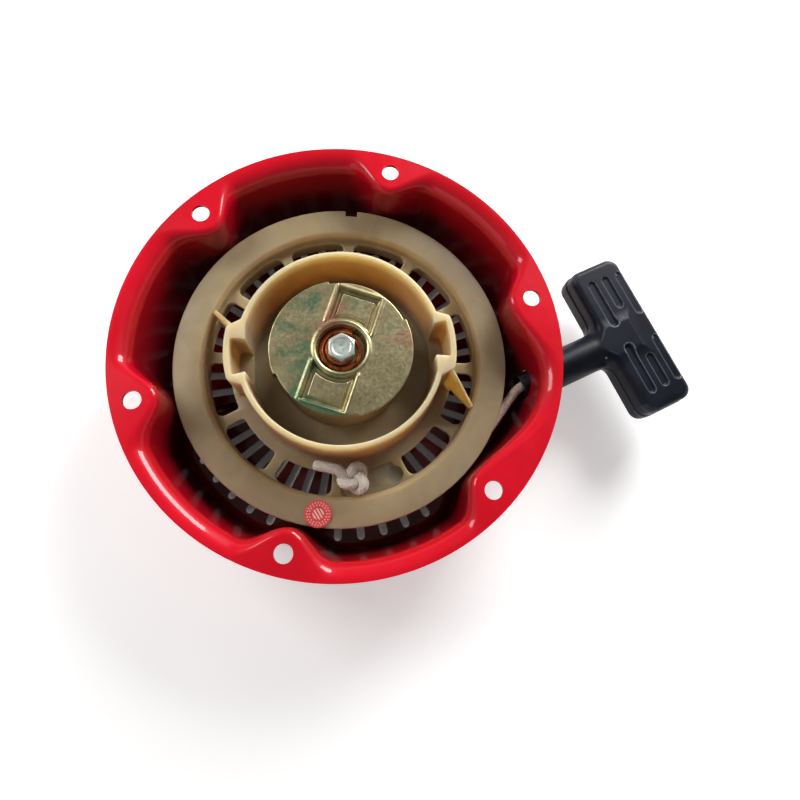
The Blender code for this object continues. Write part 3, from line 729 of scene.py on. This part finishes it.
def reel_profile():
    """Section of the reel with its moulded fillets: radius, height and corner radius."""
    hub = POST_R + 0.3
    cup_inner = CUP_R - CUP_WALL
    low_top = FLANGE_LOW_Z + FLANGE_SHEET
    groove_top = FLANGE_TOP_Z - FLANGE_SHEET
    wall_inner = DRUM_R - DRUM_WALL
    return [
        (hub, POST_NECK_Z - 0.2, 0.3), (14.0, POST_NECK_Z - 0.2, 0.6), (14.0, PLATFORM_Z, 0.8),
        (PLATFORM_R, PLATFORM_Z, 1.0), (PLATFORM_R + 0.6, CUP_FLOOR_Z, 1.5),
        (cup_inner - 0.6, CUP_FLOOR_Z, 1.5), (cup_inner, CUP_TOP_Z, 0.7), (CUP_R, CUP_TOP_Z, 0.9),
        (CUP_R + 0.8, WEB_Z, 2.0), (wall_inner, WEB_Z, 1.5),
        (wall_inner, groove_top, 1.5), (wall_inner + 2.0, FLANGE_TOP_Z, 2.4), (REEL_R, FLANGE_TOP_Z, 0.6),
        (REEL_R, groove_top, 0.5), (DRUM_R + 1.5, groove_top, 0.8), (DRUM_R, groove_top - 1.2, 0.6),
        (DRUM_R, low_top + 1.2, 0.6), (DRUM_R + 1.5, low_top, 0.8), (REEL_R - 0.5, low_top, 0.5),
        (REEL_R - 0.5, FLANGE_LOW_Z, 0.5), (wall_inner, FLANGE_LOW_Z, 0.8), (wall_inner, WEB_LOW_Z, 0.8),
        (CHAMBER_R + 2.6, WEB_LOW_Z, 0.8), (CHAMBER_R + 2.6, 3.6, 0.6), (CHAMBER_R, 3.6, 0.5),
        (CHAMBER_R, CUP_FLOOR_Z - 2.5, 0.8), (PLATFORM_R - 2.5, CUP_FLOOR_Z - 2.5, 1.0),
        (PLATFORM_R - 2.5, PLATFORM_Z - 6.0, 1.0), (14.0, PLATFORM_Z - 6.0, 1.0),
        (13.4, POST_SHOULDER_Z + 0.4, 0.5), (hub, POST_SHOULDER_Z + 0.4, 0.5),
    ]


def make_rib(side):
    """Bracing rib from an ear down to the flange."""
    outline = [(0, 0), (19.4, 0), (20.4, 7.6), (20.4, 8.6), (0, 28.4)]
    rib = flat_solid("rib", [outline], -1.0, 1.0)
    start = Vector((*polar(RIB_START[0], side + RIB_START[1]), 0.0))
    end = Vector((*polar(RIB_END[0], side + RIB_END[1]), 0.0))
    along = (end - start).normalized()
    across = Vector((0, 0, 1)).cross(along)
    axes = Matrix((along, Vector((0, 0, 1)), -across)).transposed().to_4x4()
    return place(rib, Matrix.Translation(start + Vector((0, 0, WEB_Z - 1.0))) @ axes)


def make_reel():
    """Moulded reel with its cup, ears, ribs, windows, blind pocket and the notch in its flange."""
    reel = turned("moulded_reel", rounded(reel_profile(), 3), 244)
    joined = []
    cut = []
    cup_inner = CUP_R - CUP_WALL
    for side in (0.0, 180.0):
        joined.append(flat_solid("ear", [ear_outline(side)], WEB_Z - 1.0, CUP_TOP_Z, edge=0.6))
        joined.append(make_rib(side))
        x, y = polar(PAWL_PIVOT_R, PAWL_PIVOT_ANGLE + side)
        joined.append(cylinder("pin", PIN_R, PLATFORM_Z - 4.0, PAWL_TOP_Z - 0.4, x, y, 48))
        low, high = (side + angle for angle in EAR_POCKET_ANGLES)
        hollow = [(*polar(cup_inner - 2.0, low), 0.0), (*polar(EAR_POCKET_R, low), 1.3)]
        hollow += [(px, py, 0.0) for px, py in arc(EAR_POCKET_R, low + 3, high - 3, 6)]
        hollow += [(*polar(EAR_POCKET_R, high), 1.3), (*polar(cup_inner - 2.0, high), 0.0)]
        cut.append(flat_solid("ear_hollow", [rounded(hollow, 5)], WEB_Z + 1.5, CUP_TOP_Z + 2.0))
        seat = [arc(7.0, 0, 350, 35, (x, y)), arc(PIN_R, 0, 350, 35, (x, y))]
        cut.append(flat_solid("spring_seat", seat, PLATFORM_Z - 2.6, PLATFORM_Z + 1.0))
    starts = [SPOKE_PHASE + 360.0 / SPOKES * i for i in range(SPOKES)]
    for i, start in enumerate(starts):
        if i != CLOSED_WINDOW:
            cut.append(flat_solid("window", [window_outline(start)], WEB_LOW_Z - 3.0, WEB_Z + 3.0))
    pan = [window_outline(starts[CLOSED_WINDOW], 0.8)]
    cut.append(flat_solid("blind_pocket", pan, WEB_Z - 1.4, WEB_Z + 3.0))
    cut.append(cylinder("pocket_end", 4.5, WEB_Z - 2.2, WEB_Z + 3.0, *polar(67.0, SCOOP_ANGLE)))
    notch = sector(REEL_R - NOTCH_DEPTH, REEL_R + 2, *NOTCH_ANGLES, 6)
    cut.append(flat_solid("notch", [notch], FLANGE_TOP_Z - FLANGE_SHEET - 1.0, FLANGE_TOP_Z + 1.0))
    boolean(reel, joined, "UNION")
    boolean(reel, cut, "DIFFERENCE")
    soften(reel, 0.4, 40)
    shade(reel, 45)
    finish_piece(reel, "reel", "reel", NYLON)


# Friction plate and centre stack

def plate_height(x, y, grow):
    """Height of the pressed plate at points; grow widens the hollows for its underside."""
    turn = math.radians(POCKET_ANGLE)
    along = np.abs(x * math.cos(turn) + y * math.sin(turn))
    across = -x * math.sin(turn) + y * math.cos(turn)
    radius = np.hypot(x, y)
    half = POCKET_WIDTH / 2

    def inside(shrink, slope):
        """1 within a pocket's border moved in by shrink, 0 outside, with a slope between."""
        far = POCKET_R[1] - shrink - along
        near = np.hypot(along, across) - (RECESS_R + 3.0 + shrink)
        side = half - shrink - np.abs(across)
        return smooth(np.minimum(np.minimum(far, side), near) / slope + 0.5)

    height = np.full_like(x, PLATE_TOP_Z)
    height -= POCKET_DEPTH * inside(-grow, 1.3)
    height += (POCKET_DEPTH - 1.2) * inside(2.2 + grow, 1.2)
    bead = np.exp(-((np.abs(across) - half - 1.5) / 0.75) ** 2)
    bead *= smooth((along - 9.0) / 3.0) * smooth((POCKET_R[1] + 2.5 - along) / 2.0)
    end = np.exp(-((along - POCKET_R[1] - 1.0) / 0.75) ** 2) * smooth((half + 2.0 - np.abs(across)) / 2.0)
    ring = np.exp(-((radius - RECESS_R - 1.4) / 0.85) ** 2)
    height += 0.55 * np.maximum(np.maximum(bead, end), ring)
    drop = (height - RECESS_FLOOR_Z) * smooth((RECESS_R + 0.3 + grow - radius) / 1.4)
    return height - drop


def plate_radius(angle):
    """Outer edge: two of the four sectors stand out a little."""
    radius = np.full_like(angle, PLATE_R - PLATE_STEP)
    first, second, third, fourth = PLATE_STEPS_AT
    for start, end in ((second, third), (fourth, first + 360.0)):
        turned_on = (np.degrees(angle) - start) % 360.0
        span = end - start
        radius += PLATE_STEP * smooth(turned_on / 0.6) * smooth((span - turned_on) / 0.6)
    return radius


def make_friction_plate():
    """Pressed plate as a fine relief with its underside, and the two guide lugs below it."""
    spokes, rings = 720, 116
    angle = np.arange(spokes) * math.tau / spokes
    part = np.linspace(0.0, 1.0, rings)
    hole = BOLT_R + 0.9
    radius = hole + (plate_radius(angle)[:, None] - hole) * part[None, :]
    x = radius * np.cos(angle)[:, None]
    y = radius * np.sin(angle)[:, None]
    rolled = 0.35 * (1.0 - np.sqrt(1.0 - np.clip(1.0 - (1.0 - part) * 32.0 / 0.5, 0.0, 1.0) ** 2))[None, :]
    top = plate_height(x, y, 0.0) - rolled
    bottom = plate_height(x, y, 1.3) - PLATE_SHEET + rolled
    upper = np.stack([x, y, top], axis=2)
    lower = np.stack([x, y, bottom], axis=2)[:, ::-1]
    loop = np.concatenate([upper, lower], axis=1)
    plate = mesh_object("pressed_plate", loop.reshape(-1, 3), grid_faces(spokes, rings * 2, True, True))
    face_outward(plate)
    shade(plate, 60)
    finish_piece(plate, "friction_plate", "friction_plate", ZINC)
    for side in (0.0, 180.0):
        x, y = polar(LUG_CIRCLE_R, LUG_ANGLE + side)
        lug = flat_solid("guide_lug", [arc(LUG_R, 0, 345, 23, (x, y))], 44.6, PLATE_TOP_Z - 1.0, edge=0.4)
        shade(lug)
        finish_piece(lug, "friction_plate", None, ZINC)


def make_bolt():
    """Hexagon bolt with a chamfered, dished head and a threaded shank."""
    across = BOLT_AF / 2
    corner = across / math.cos(math.pi / 6)
    hexagon = [polar(corner, BOLT_TURN + 60 * i) for i in range(6)]
    head = flat_solid("hex", [hexagon], BOLT_HEAD_Z, HEIGHT + 1.0)
    top = [(0.01, BOLT_HEAD_Z - 1.0, 0.0), (0.01, HEIGHT - 0.35, 0.0), (4.3, HEIGHT - 0.35, 0.6),
           (4.9, HEIGHT, 0.4), (across - 0.4, HEIGHT, 0.5), (corner + 0.6, HEIGHT - 1.1, 0.0),
           (corner + 0.6, BOLT_HEAD_Z - 1.0, 0.0)]
    boolean(head, [turned("chamfer", rounded(top, 4), 96)], "INTERSECT")
    soften(head, 0.22, 25)
    head.name = "bolt_head"
    shade(head, 40)
    finish_piece(head, "root", "centre_bolt", BLUE_ZINC)
    thread = []
    low = BOLT_HEAD_Z - 20.0
    for i in range(17):
        thread += [(BOLT_R, low + 1.2 * i + 0.3, 0.0), (BOLT_R - 0.6, low + 1.2 * i + 0.9, 0.0)]
    outline = [(0.01, low, 0.0)] + thread + [(0.01, BOLT_HEAD_Z + 0.2, 0.0)]
    shank = turned("bolt_thread", outline, 48)
    shade(shank)
    finish_piece(shank, "root", None, BLUE_ZINC)


def wire_object(name, points, radius, rings=6):
    """A round wire along points in millimetres, as a mesh."""
    curve = bpy.data.curves.new(name, "CURVE")
    curve.dimensions = "3D"
    curve.bevel_depth = radius * MM
    curve.bevel_resolution = rings
    curve.use_fill_caps = True
    spline = curve.splines.new("POLY")
    spline.points.add(len(points) - 1)
    for point, location in zip(spline.points, points):
        point.co = (*(Vector(location) * MM), 1.0)
    return curve_object(name, curve)


def make_friction_spring():
    """Conical wire spring under the bolt's head."""
    coil = []
    for i in range(193):
        part = i / 192
        radius = SPRING_COIL_R[0] - (SPRING_COIL_R[0] - SPRING_COIL_R[1]) * part ** 1.5
        height = RECESS_FLOOR_Z + 1.35 + 0.6 * part
        coil.append((*polar(radius, SPRING_START + SPRING_SWEEP * part), height))
    spring = wire_object("conical_spring", coil, SPRING_WIRE_R)
    shade(spring, 60)
    finish_piece(spring, "root", "friction_spring", COPPER)


def make_pawl(number):
    """Hardened pawl with rounded edges."""
    side = 180.0 * (number - 1)
    outline = [(x, y, 0.0) for x, y in arc(6.2, 170, 345, 24)]
    outline += [(5.2, 4.0, 3.0), (4.6, 12.0, 6.0), (6.2, 19.0, 5.0), (5.0, PAWL_LENGTH, 0.5)]
    outline += [(-1.5, PAWL_LENGTH, 1.5), (-4.4, 19.0, 3.0), (-4.5, 8.0, 4.0)]
    bore = arc(PIN_R + 0.3, 0, 352.5, 47)
    pawl = flat_solid(f"steel_pawl_{number}", [rounded(outline, 5), bore], PAWL_LOW_Z, PAWL_TOP_Z, edge=0.35)
    x, y = polar(PAWL_PIVOT_R, PAWL_PIVOT_ANGLE + side)
    turn = Matrix.Rotation(math.radians(PAWL_PIVOT_ANGLE + side), 4, "Z")
    place(pawl, Matrix.Translation((x, y, 0.0)) @ turn)
    shade(pawl)
    finish_piece(pawl, f"pawl_{number}", f"pawl_{number}", HARD_STEEL)


# Rope

def smooth_path(points, spacing):
    """A smooth curve through given points, as evenly spaced points."""
    knots = np.array(points, float)
    padded = np.vstack([2 * knots[0] - knots[1], knots, 2 * knots[-1] - knots[-2]])
    dense = []
    for i in range(1, len(padded) - 2):
        a, b, c, d = padded[i - 1:i + 3]
        t = np.linspace(0.0, 1.0, 24, endpoint=False)[:, None]
        dense.append(0.5 * (2 * b + (c - a) * t + (2 * a - 5 * b + 4 * c - d) * t ** 2
                            + (3 * b - a - 3 * c + d) * t ** 3))
    dense = np.vstack(dense + [knots[-1:]])
    length = np.concatenate([[0.0], np.cumsum(np.linalg.norm(np.diff(dense, axis=0), axis=1))])
    even = np.linspace(0.0, length[-1], max(int(length[-1] / spacing), 4))
    return np.stack([np.interp(even, length, dense[:, k]) for k in range(3)], axis=1), even


def braided(name, points, radius=ROPE_R, detail=6):
    """Braided cord along a path: strands cross over and under each other all the way round."""
    route, along = smooth_path(points, BRAID_PITCH / detail)
    tangent = np.gradient(route, axis=0)
    tangent /= np.linalg.norm(tangent, axis=1)[:, None]
    side = np.cross(tangent[0], (0.3, 0.2, 0.9))
    sides = []
    for direction in tangent:
        side = side - direction * (side @ direction)
        side = side / np.linalg.norm(side)
        sides.append(side)
    sides = np.array(sides)
    ups = np.cross(tangent, sides)
    columns = BRAID_CELLS * detail
    around = np.arange(columns)[None, :] / detail
    picks = along[:, None] / BRAID_PITCH
    left = np.sin(math.pi * (around + picks))
    right = np.sin(math.pi * (around - picks))
    ridge_left = np.abs(left) ** 0.7
    ridge_right = np.abs(right) ** 0.7
    height = np.where(left * right > 0, ridge_left * (0.55 + 0.45 * ridge_right),
                      ridge_right * (0.55 + 0.45 * ridge_left))
    end = np.minimum(along, along[-1] - along) / 1.4
    cap = np.sqrt(np.clip(1.0 - (1.0 - np.clip(end, 0.03, 1.0)) ** 2, 0.0, 1.0))
    reach = (radius - 0.62 * (1.0 - height)) * cap[:, None]
    turn = math.tau * around / BRAID_CELLS
    points3 = (route[:, None, :] + sides[:, None, :] * (reach * np.cos(turn))[:, :, None]
               + ups[:, None, :] * (reach * np.sin(turn))[:, :, None])
    faces = grid_faces(len(route), columns, wrap_columns=True)
    faces.append(list(range(columns)))
    last = (len(route) - 1) * columns
    faces.append([last + k for k in reversed(range(columns))])
    rope = mesh_object(name, points3.reshape(-1, 3), faces)
    face_outward(rope)
    return shade(rope, 80)


def make_rope():
    """The wound turns, the lead to the handle, the knot and the piece that is drawn out.

    The wound turns are one helix of 2.17 turns that overlap: they give its look, not its whole length.
    """
    wound = []
    for i in range(WOUND_STEPS + 1):
        wound.append((*polar(WOUND_R, 15.0 * i), WOUND_LOW_Z + WOUND_RISE * i / WOUND_STEPS))
    coil = braided("wound_turns", wound, WOUND_ROPE_R, 4)
    finish_piece(coil, "reel", "rope_coil", ROPE)
    bend = Vector((*BEND_POINT, ROPE_Z))
    distance = bend.to_2d().length
    tangent_angle = (math.degrees(math.atan2(bend.y, bend.x))
                     - math.degrees(math.acos(LEAD_TANGENT_R / distance)))
    points = [(*polar(LEAD_TANGENT_R, tangent_angle - 36.0 + 6.0 * i), ROPE_Z) for i in range(7)]
    pull = Vector((*polar(1.0, PULL_ANGLE), 0.0))
    into = (bend - Vector(points[-1])).normalized()
    points += [tuple(bend - into * back) for back in (26.0, 14.0, 5.0)]
    points += [tuple(bend - into * 2.2 + pull * 0.8), tuple(bend + pull * 2.2 - into * 0.8)]
    points += [tuple(bend + pull * ahead) for ahead in (5.0, 11.0, 15.0)]
    finish_piece(braided("lead", points), "root", "rope_lead", ROPE)

    handle_end = [tuple(bend + pull * ahead) for ahead in (21.0, 40.0, 60.0, 76.0)]
    handle_end += [tuple(bend + pull * u + Vector((-pull.y, pull.x, 0.0)) * v + Vector((0, 0, w)))
                   for u, v, w in ((77.6, 0.5, 1.6), (79.4, 3.3, 1.5), (81.0, 2.2, -2.6), (80.2, -3.2, -1.8),
                                   (79.4, -2.0, 3.2), (81.4, 2.6, 2.4), (82.4, 0.5, -1.4))]
    finish_piece(braided("handle_cord", handle_end, 2.5), "handle", "handle_rope", ROPE)

    stretch = []
    for i in range(41):
        ahead = 13.5 + 9.0 * i / 40
        ring = [bend + pull * ahead + Vector((-pull.y, pull.x, 0.0)) * y + Vector((0.0, 0.0, z))
                for y, z in arc(2.4, 0, 352.5, 47)]
        stretch += [tuple(p) for p in ring]
    drawn = mesh_object("pull_rope", stretch, grid_faces(41, 48, wrap_columns=True))
    face_outward(drawn)
    shade(drawn, 80)
    drawn.data.materials.append(DRAWN_ROPE)
    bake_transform(drawn)

    centre = Vector((*polar(*KNOT_AT), KNOT_Z))
    out = Vector((*polar(1.0, KNOT_AT[1]), 0.0))
    across = Vector((-out.y, out.x, 0.0))
    knot = []
    for i in range(21):
        t = math.tau * (0.055 + 0.89 * i / 20)
        x = math.sin(t) + 2.0 * math.sin(2.0 * t)
        y = math.cos(t) - 2.0 * math.cos(2.0 * t)
        z = -math.sin(3.0 * t)
        knot.append(centre + (out * x + across * y) * KNOT_SCALE + Vector((0.0, 0.0, z * 2.0 + 0.6)))
    tail = [Vector((*polar(r, a), z)) for r, a, z in TAIL_PLACES]
    down = [Vector((*polar(64.0, -88.0), z)) for z in (33.5, 30.0, 27.5)]
    path = [tuple(p) for p in tail + knot + down]
    finish_piece(braided("stopper_knot", path, KNOT_ROPE_R), "reel", "rope_knot", KNOT_ROPE)


# Guide and handle

def make_guide():
    """Turned bush with a polished mouth, pressed into the side wall."""
    outline = [(GUIDE_BORE_R + 1.4, 1.0, 0.6), (GUIDE_BORE_R, 3.0, 2.0), (GUIDE_BORE_R, GUIDE_END - 1.6, 2.0),
               (GUIDE_BORE_R + 1.0, GUIDE_END, 0.5), (9.4, GUIDE_END, 0.5), (9.4, GUIDE_END - 1.8, 0.5),
               (GUIDE_R, GUIDE_END - 1.8, 0.2), (GUIDE_R, 1.0, 0.4)]
    guide = turned("turned_guide", rounded(outline, 5), 96)
    place(guide, PULL @ Matrix.Rotation(math.pi / 2, 4, "Y"))
    shade(guide, 40)
    # The guide's steel is painted dark: painted shade.
    finish_piece(guide, "root", "rope_guide", SHADE_DARK_STEEL)


def surface_of(name, field, low, high, step):
    """Surface where a field is zero, by surface nets: a point in each cell that the surface crosses."""
    axes = [np.arange(a, b + step, step) for a, b in zip(low, high)]
    x, y, z = np.meshgrid(*axes, indexing="ij")
    value = field(x, y, z)
    shape = np.array(value.shape) - 1
    total = np.zeros((*shape, 3))
    crossings = np.zeros(shape)
    corner = [np.array(c) for c in np.ndindex(2, 2, 2)]

    def block(offset):
        """The field at one corner of every cell."""
        return value[tuple(slice(o, o + n) for o, n in zip(offset, shape))]

    for a in corner:
        for axis in range(3):
            if a[axis]:
                continue
            b = a.copy()
            b[axis] = 1
            va, vb = block(a), block(b)
            crossed = (va < 0) != (vb < 0)
            part = np.where(crossed, va / np.where(crossed, va - vb, 1.0), 0.0)
            for k in range(3):
                total[..., k] += crossed * (a[k] + (part if k == axis else 0.0))
            crossings += crossed
    active = crossings > 0
    number = np.full(shape, -1)
    number[active] = np.arange(active.sum())
    cell = np.stack(np.nonzero(active), axis=1)
    points = (cell + total[active] / crossings[active][:, None]) * step + np.array(low)
    faces = []
    for axis in range(3):
        u, v = (axis + 1) % 3, (axis + 2) % 3
        lower = [slice(1, n) for n in shape]
        lower[axis] = slice(0, shape[axis])
        upper = list(lower)
        upper[axis] = slice(1, shape[axis] + 1)
        inside = value[tuple(lower)] < 0
        crossed = inside != (value[tuple(upper)] < 0)
        places = np.stack(np.nonzero(crossed), axis=1)
        base = places + 1
        base[:, axis] -= 1
        quad = []
        for du, dv in ((0, 0), (1, 0), (1, 1), (0, 1)):
            at = base.copy()
            at[:, u] -= du
            at[:, v] -= dv
            quad.append(number[tuple(at.T)])
        quad = np.stack(quad, axis=1)
        flip = ~inside[crossed]
        quad[flip] = quad[flip][:, ::-1]
        faces.append(quad)
    return mesh_object(name, points, np.vstack(faces).tolist())


def slab(x, y, z, half_x, half_y, half_z, plan_r, edge_r):
    """Distance to a slab with rounded corners in plan and rounded edges."""
    qx, qy = np.abs(x) - half_x + plan_r, np.abs(y) - half_y + plan_r
    plan = np.hypot(np.maximum(qx, 0), np.maximum(qy, 0)) + np.minimum(np.maximum(qx, qy), 0) - plan_r
    a, b = plan + edge_r, np.abs(z) - half_z + edge_r
    return np.hypot(np.maximum(a, 0), np.maximum(b, 0)) + np.minimum(np.maximum(a, b), 0) - edge_r


def handle_field(x, y, z):
    """Distance field of the T handle in the pull frame, where x runs along the pull and z is up."""
    half = [size / 2 for size in BAR_SIZE]
    lower = 0.5 * smooth((0.9 - z) / 0.9)
    bar = slab(x - BAR_CENTRE, y, z, half[0] - 0.5 + lower, half[1] - 0.5 + lower, half[2], 6.5, 3.4)
    bar += 0.012 * np.abs(z) ** 1.5
    radius = np.hypot(y, z)
    neck = np.maximum(radius - NECK_R, x - BAR_CENTRE)
    edge = np.maximum(neck + 1.2, NECK_START - x + 1.2)
    outside = np.hypot(np.maximum(neck + 1.2, 0), np.maximum(NECK_START - x + 1.2, 0))
    other = np.minimum(edge, 0) + outside - 1.2
    blend = 7.0
    h = np.clip(0.5 + 0.5 * (other - bar) / blend, 0.0, 1.0)
    body = other * (1 - h) + bar * h - blend * h * (1 - h)
    body = np.maximum(body, np.abs(z) - NECK_R)
    for at, start, end in GROOVES:
        run = np.hypot(x - at, y - np.clip(y, start, end))
        depth = (half[2] - z) + np.maximum(run - GROOVE_HALF, 0) * 1.3
        body = np.maximum(body, np.minimum(GROOVE_DEPTH + 0.3 - depth, GROOVE_HALF + 0.8 - run))
    body = np.maximum(body, ROPE_R + 0.5 - radius)
    pocket = np.maximum(radius - KNOT_CAVITY_R, KNOT_CAVITY_START - x)
    return np.maximum(body, -pocket)


def make_handle():
    """Moulded T handle with grooves for grip, a parting step and a filleted neck."""
    low = (NECK_START - 1.0, -BAR_SIZE[1] / 2 - 1.0, -NECK_R - 1.0)
    high = (BAR_CENTRE + BAR_SIZE[0] / 2 + 1.0, BAR_SIZE[1] / 2 + 1.0, NECK_R + 1.0)
    grip = surface_of("moulded_grip", handle_field, low, high, 0.5)
    place(grip, PULL)
    shade(grip, 70)
    finish_piece(grip, "handle", "handle_grip", RUBBER)


# Small pieces

def make_sticker():
    """Thin printed disc on the flange."""
    outline = arc(STICKER_R, 0, 352.5, 47, STICKER_AT)
    disc = flat_solid("printed_sticker", [outline], FLANGE_TOP_Z + 0.05, FLANGE_TOP_Z + 0.35, edge=0.1)
    shade(disc)
    finish_piece(disc, "reel", "inspection_sticker", STICKER)


def dress_node(name, finish, width, angle=40.0):
    """Give a CAD node that stays as it is its material and rounded edges."""
    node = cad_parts[name]
    node.data.materials.clear()
    node.data.materials.append(finish)
    add_bevel(node, width, angle)


make_housing()
make_reel()
make_friction_plate()
make_bolt()
make_friction_spring()
make_pawl(1)
make_pawl(2)
make_rope()
make_guide()
make_handle()
make_sticker()
dress_node("centre_post", STEEL, 0.3)
dress_node("thrust_washer", STEEL, 0.25)
dress_node("knot_washer", STEEL, 0.2)
dress_node("return_spring", SPRING_STEEL, 0.1)
dress_node("pawl_spring_1", SPRING_STEEL, 0.02, 80)
dress_node("pawl_spring_2", SPRING_STEEL, 0.02, 80)


# Stage, light and camera

def make_floor():
    """Plain pale floor; it glows a little all round, and hardly at all under the starter."""
    f = Finish("pale_floor")
    x, y, _ = f.node("ShaderNodeSeparateXYZ", {"Vector": f.place}).outputs
    radius = f.distance(x, y)
    glow = f.ramp(radius, 0.094, 0.103, 0.02, 0.4)
    f.set(Base_Color=f.mix(f.noise(0.002), (0.9, 0.9, 0.9, 1.0), (0.93, 0.93, 0.93, 1.0)), Roughness=0.7)
    f.set(Emission_Color=(1.0, 1.0, 1.0, 1.0), Emission_Strength=glow)
    floor = mesh_object("floor", [(-9000, -9000, -0.2), (9000, -9000, -0.2), (9000, 9000, -0.2),
                                  (-9000, 9000, -0.2)], [(0, 1, 2, 3)])
    floor.data.materials.append(f.material)


def softbox(name, location, size, power, color=(1.0, 1.0, 1.0)):
    """Area light that faces the middle of the starter; location in metres."""
    light = bpy.data.lights.new(name, "AREA")
    light.shape = "RECTANGLE"
    light.size, light.size_y = size
    light.energy = power
    light.color = color
    obj = add_object(name, light)
    obj.location = location
    obj.rotation_euler = (Vector((0.0, 0.0, 0.04)) - Vector(location)).to_track_quat("-Z", "Y").to_euler()


def make_lights():
    """A large key from the far right, two weaker ones, and a soft room with walls paler than its ceiling."""
    softbox("key", (0.48, 0.7, 0.56), (0.45, 0.4), 10.5)
    softbox("side", (-0.5, 0.25, 0.5), (0.3, 0.3), 2.4)
    softbox("fill", (-0.7, -0.5, 0.5), (0.6, 0.4), 0.5)
    world = bpy.data.worlds.new("room")
    world.use_nodes = True
    nodes, links = world.node_tree.nodes, world.node_tree.links
    direction = nodes.new("ShaderNodeTexCoord").outputs["Generated"]
    split = nodes.new("ShaderNodeSeparateXYZ")
    links.new(direction, split.inputs["Vector"])
    wall = nodes.new("ShaderNodeMapRange")
    for key, value in (("From Min", 0.05), ("From Max", 0.4), ("To Min", 0.8), ("To Max", 0.17)):
        wall.inputs[key].default_value = value
    links.new(split.outputs["Z"], wall.inputs["Value"])
    links.new(wall.outputs["Result"], nodes["Background"].inputs["Strength"])
    nodes["Background"].inputs["Color"].default_value = (1.0, 0.97, 0.94, 1.0)
    bpy.context.scene.world = world


def make_camera():
    """Camera at the photograph's viewing angle."""
    camera = bpy.data.cameras.new("camera")
    camera.sensor_width = 36.0
    camera.lens = CAMERA_LENS
    camera.clip_start = 0.01
    obj = add_object("camera", camera)
    right, up, back = (Vector(axis).normalized() for axis in CAMERA_AXES)
    obj.matrix_world = (Matrix.Translation(Vector(CAMERA_AT) * MM)
                        @ Matrix((right, up, back)).transposed().to_4x4())
    bpy.context.scene.camera = obj


make_floor()
make_lights()
make_camera()
bpy.context.scene.view_settings.view_transform = "Standard"
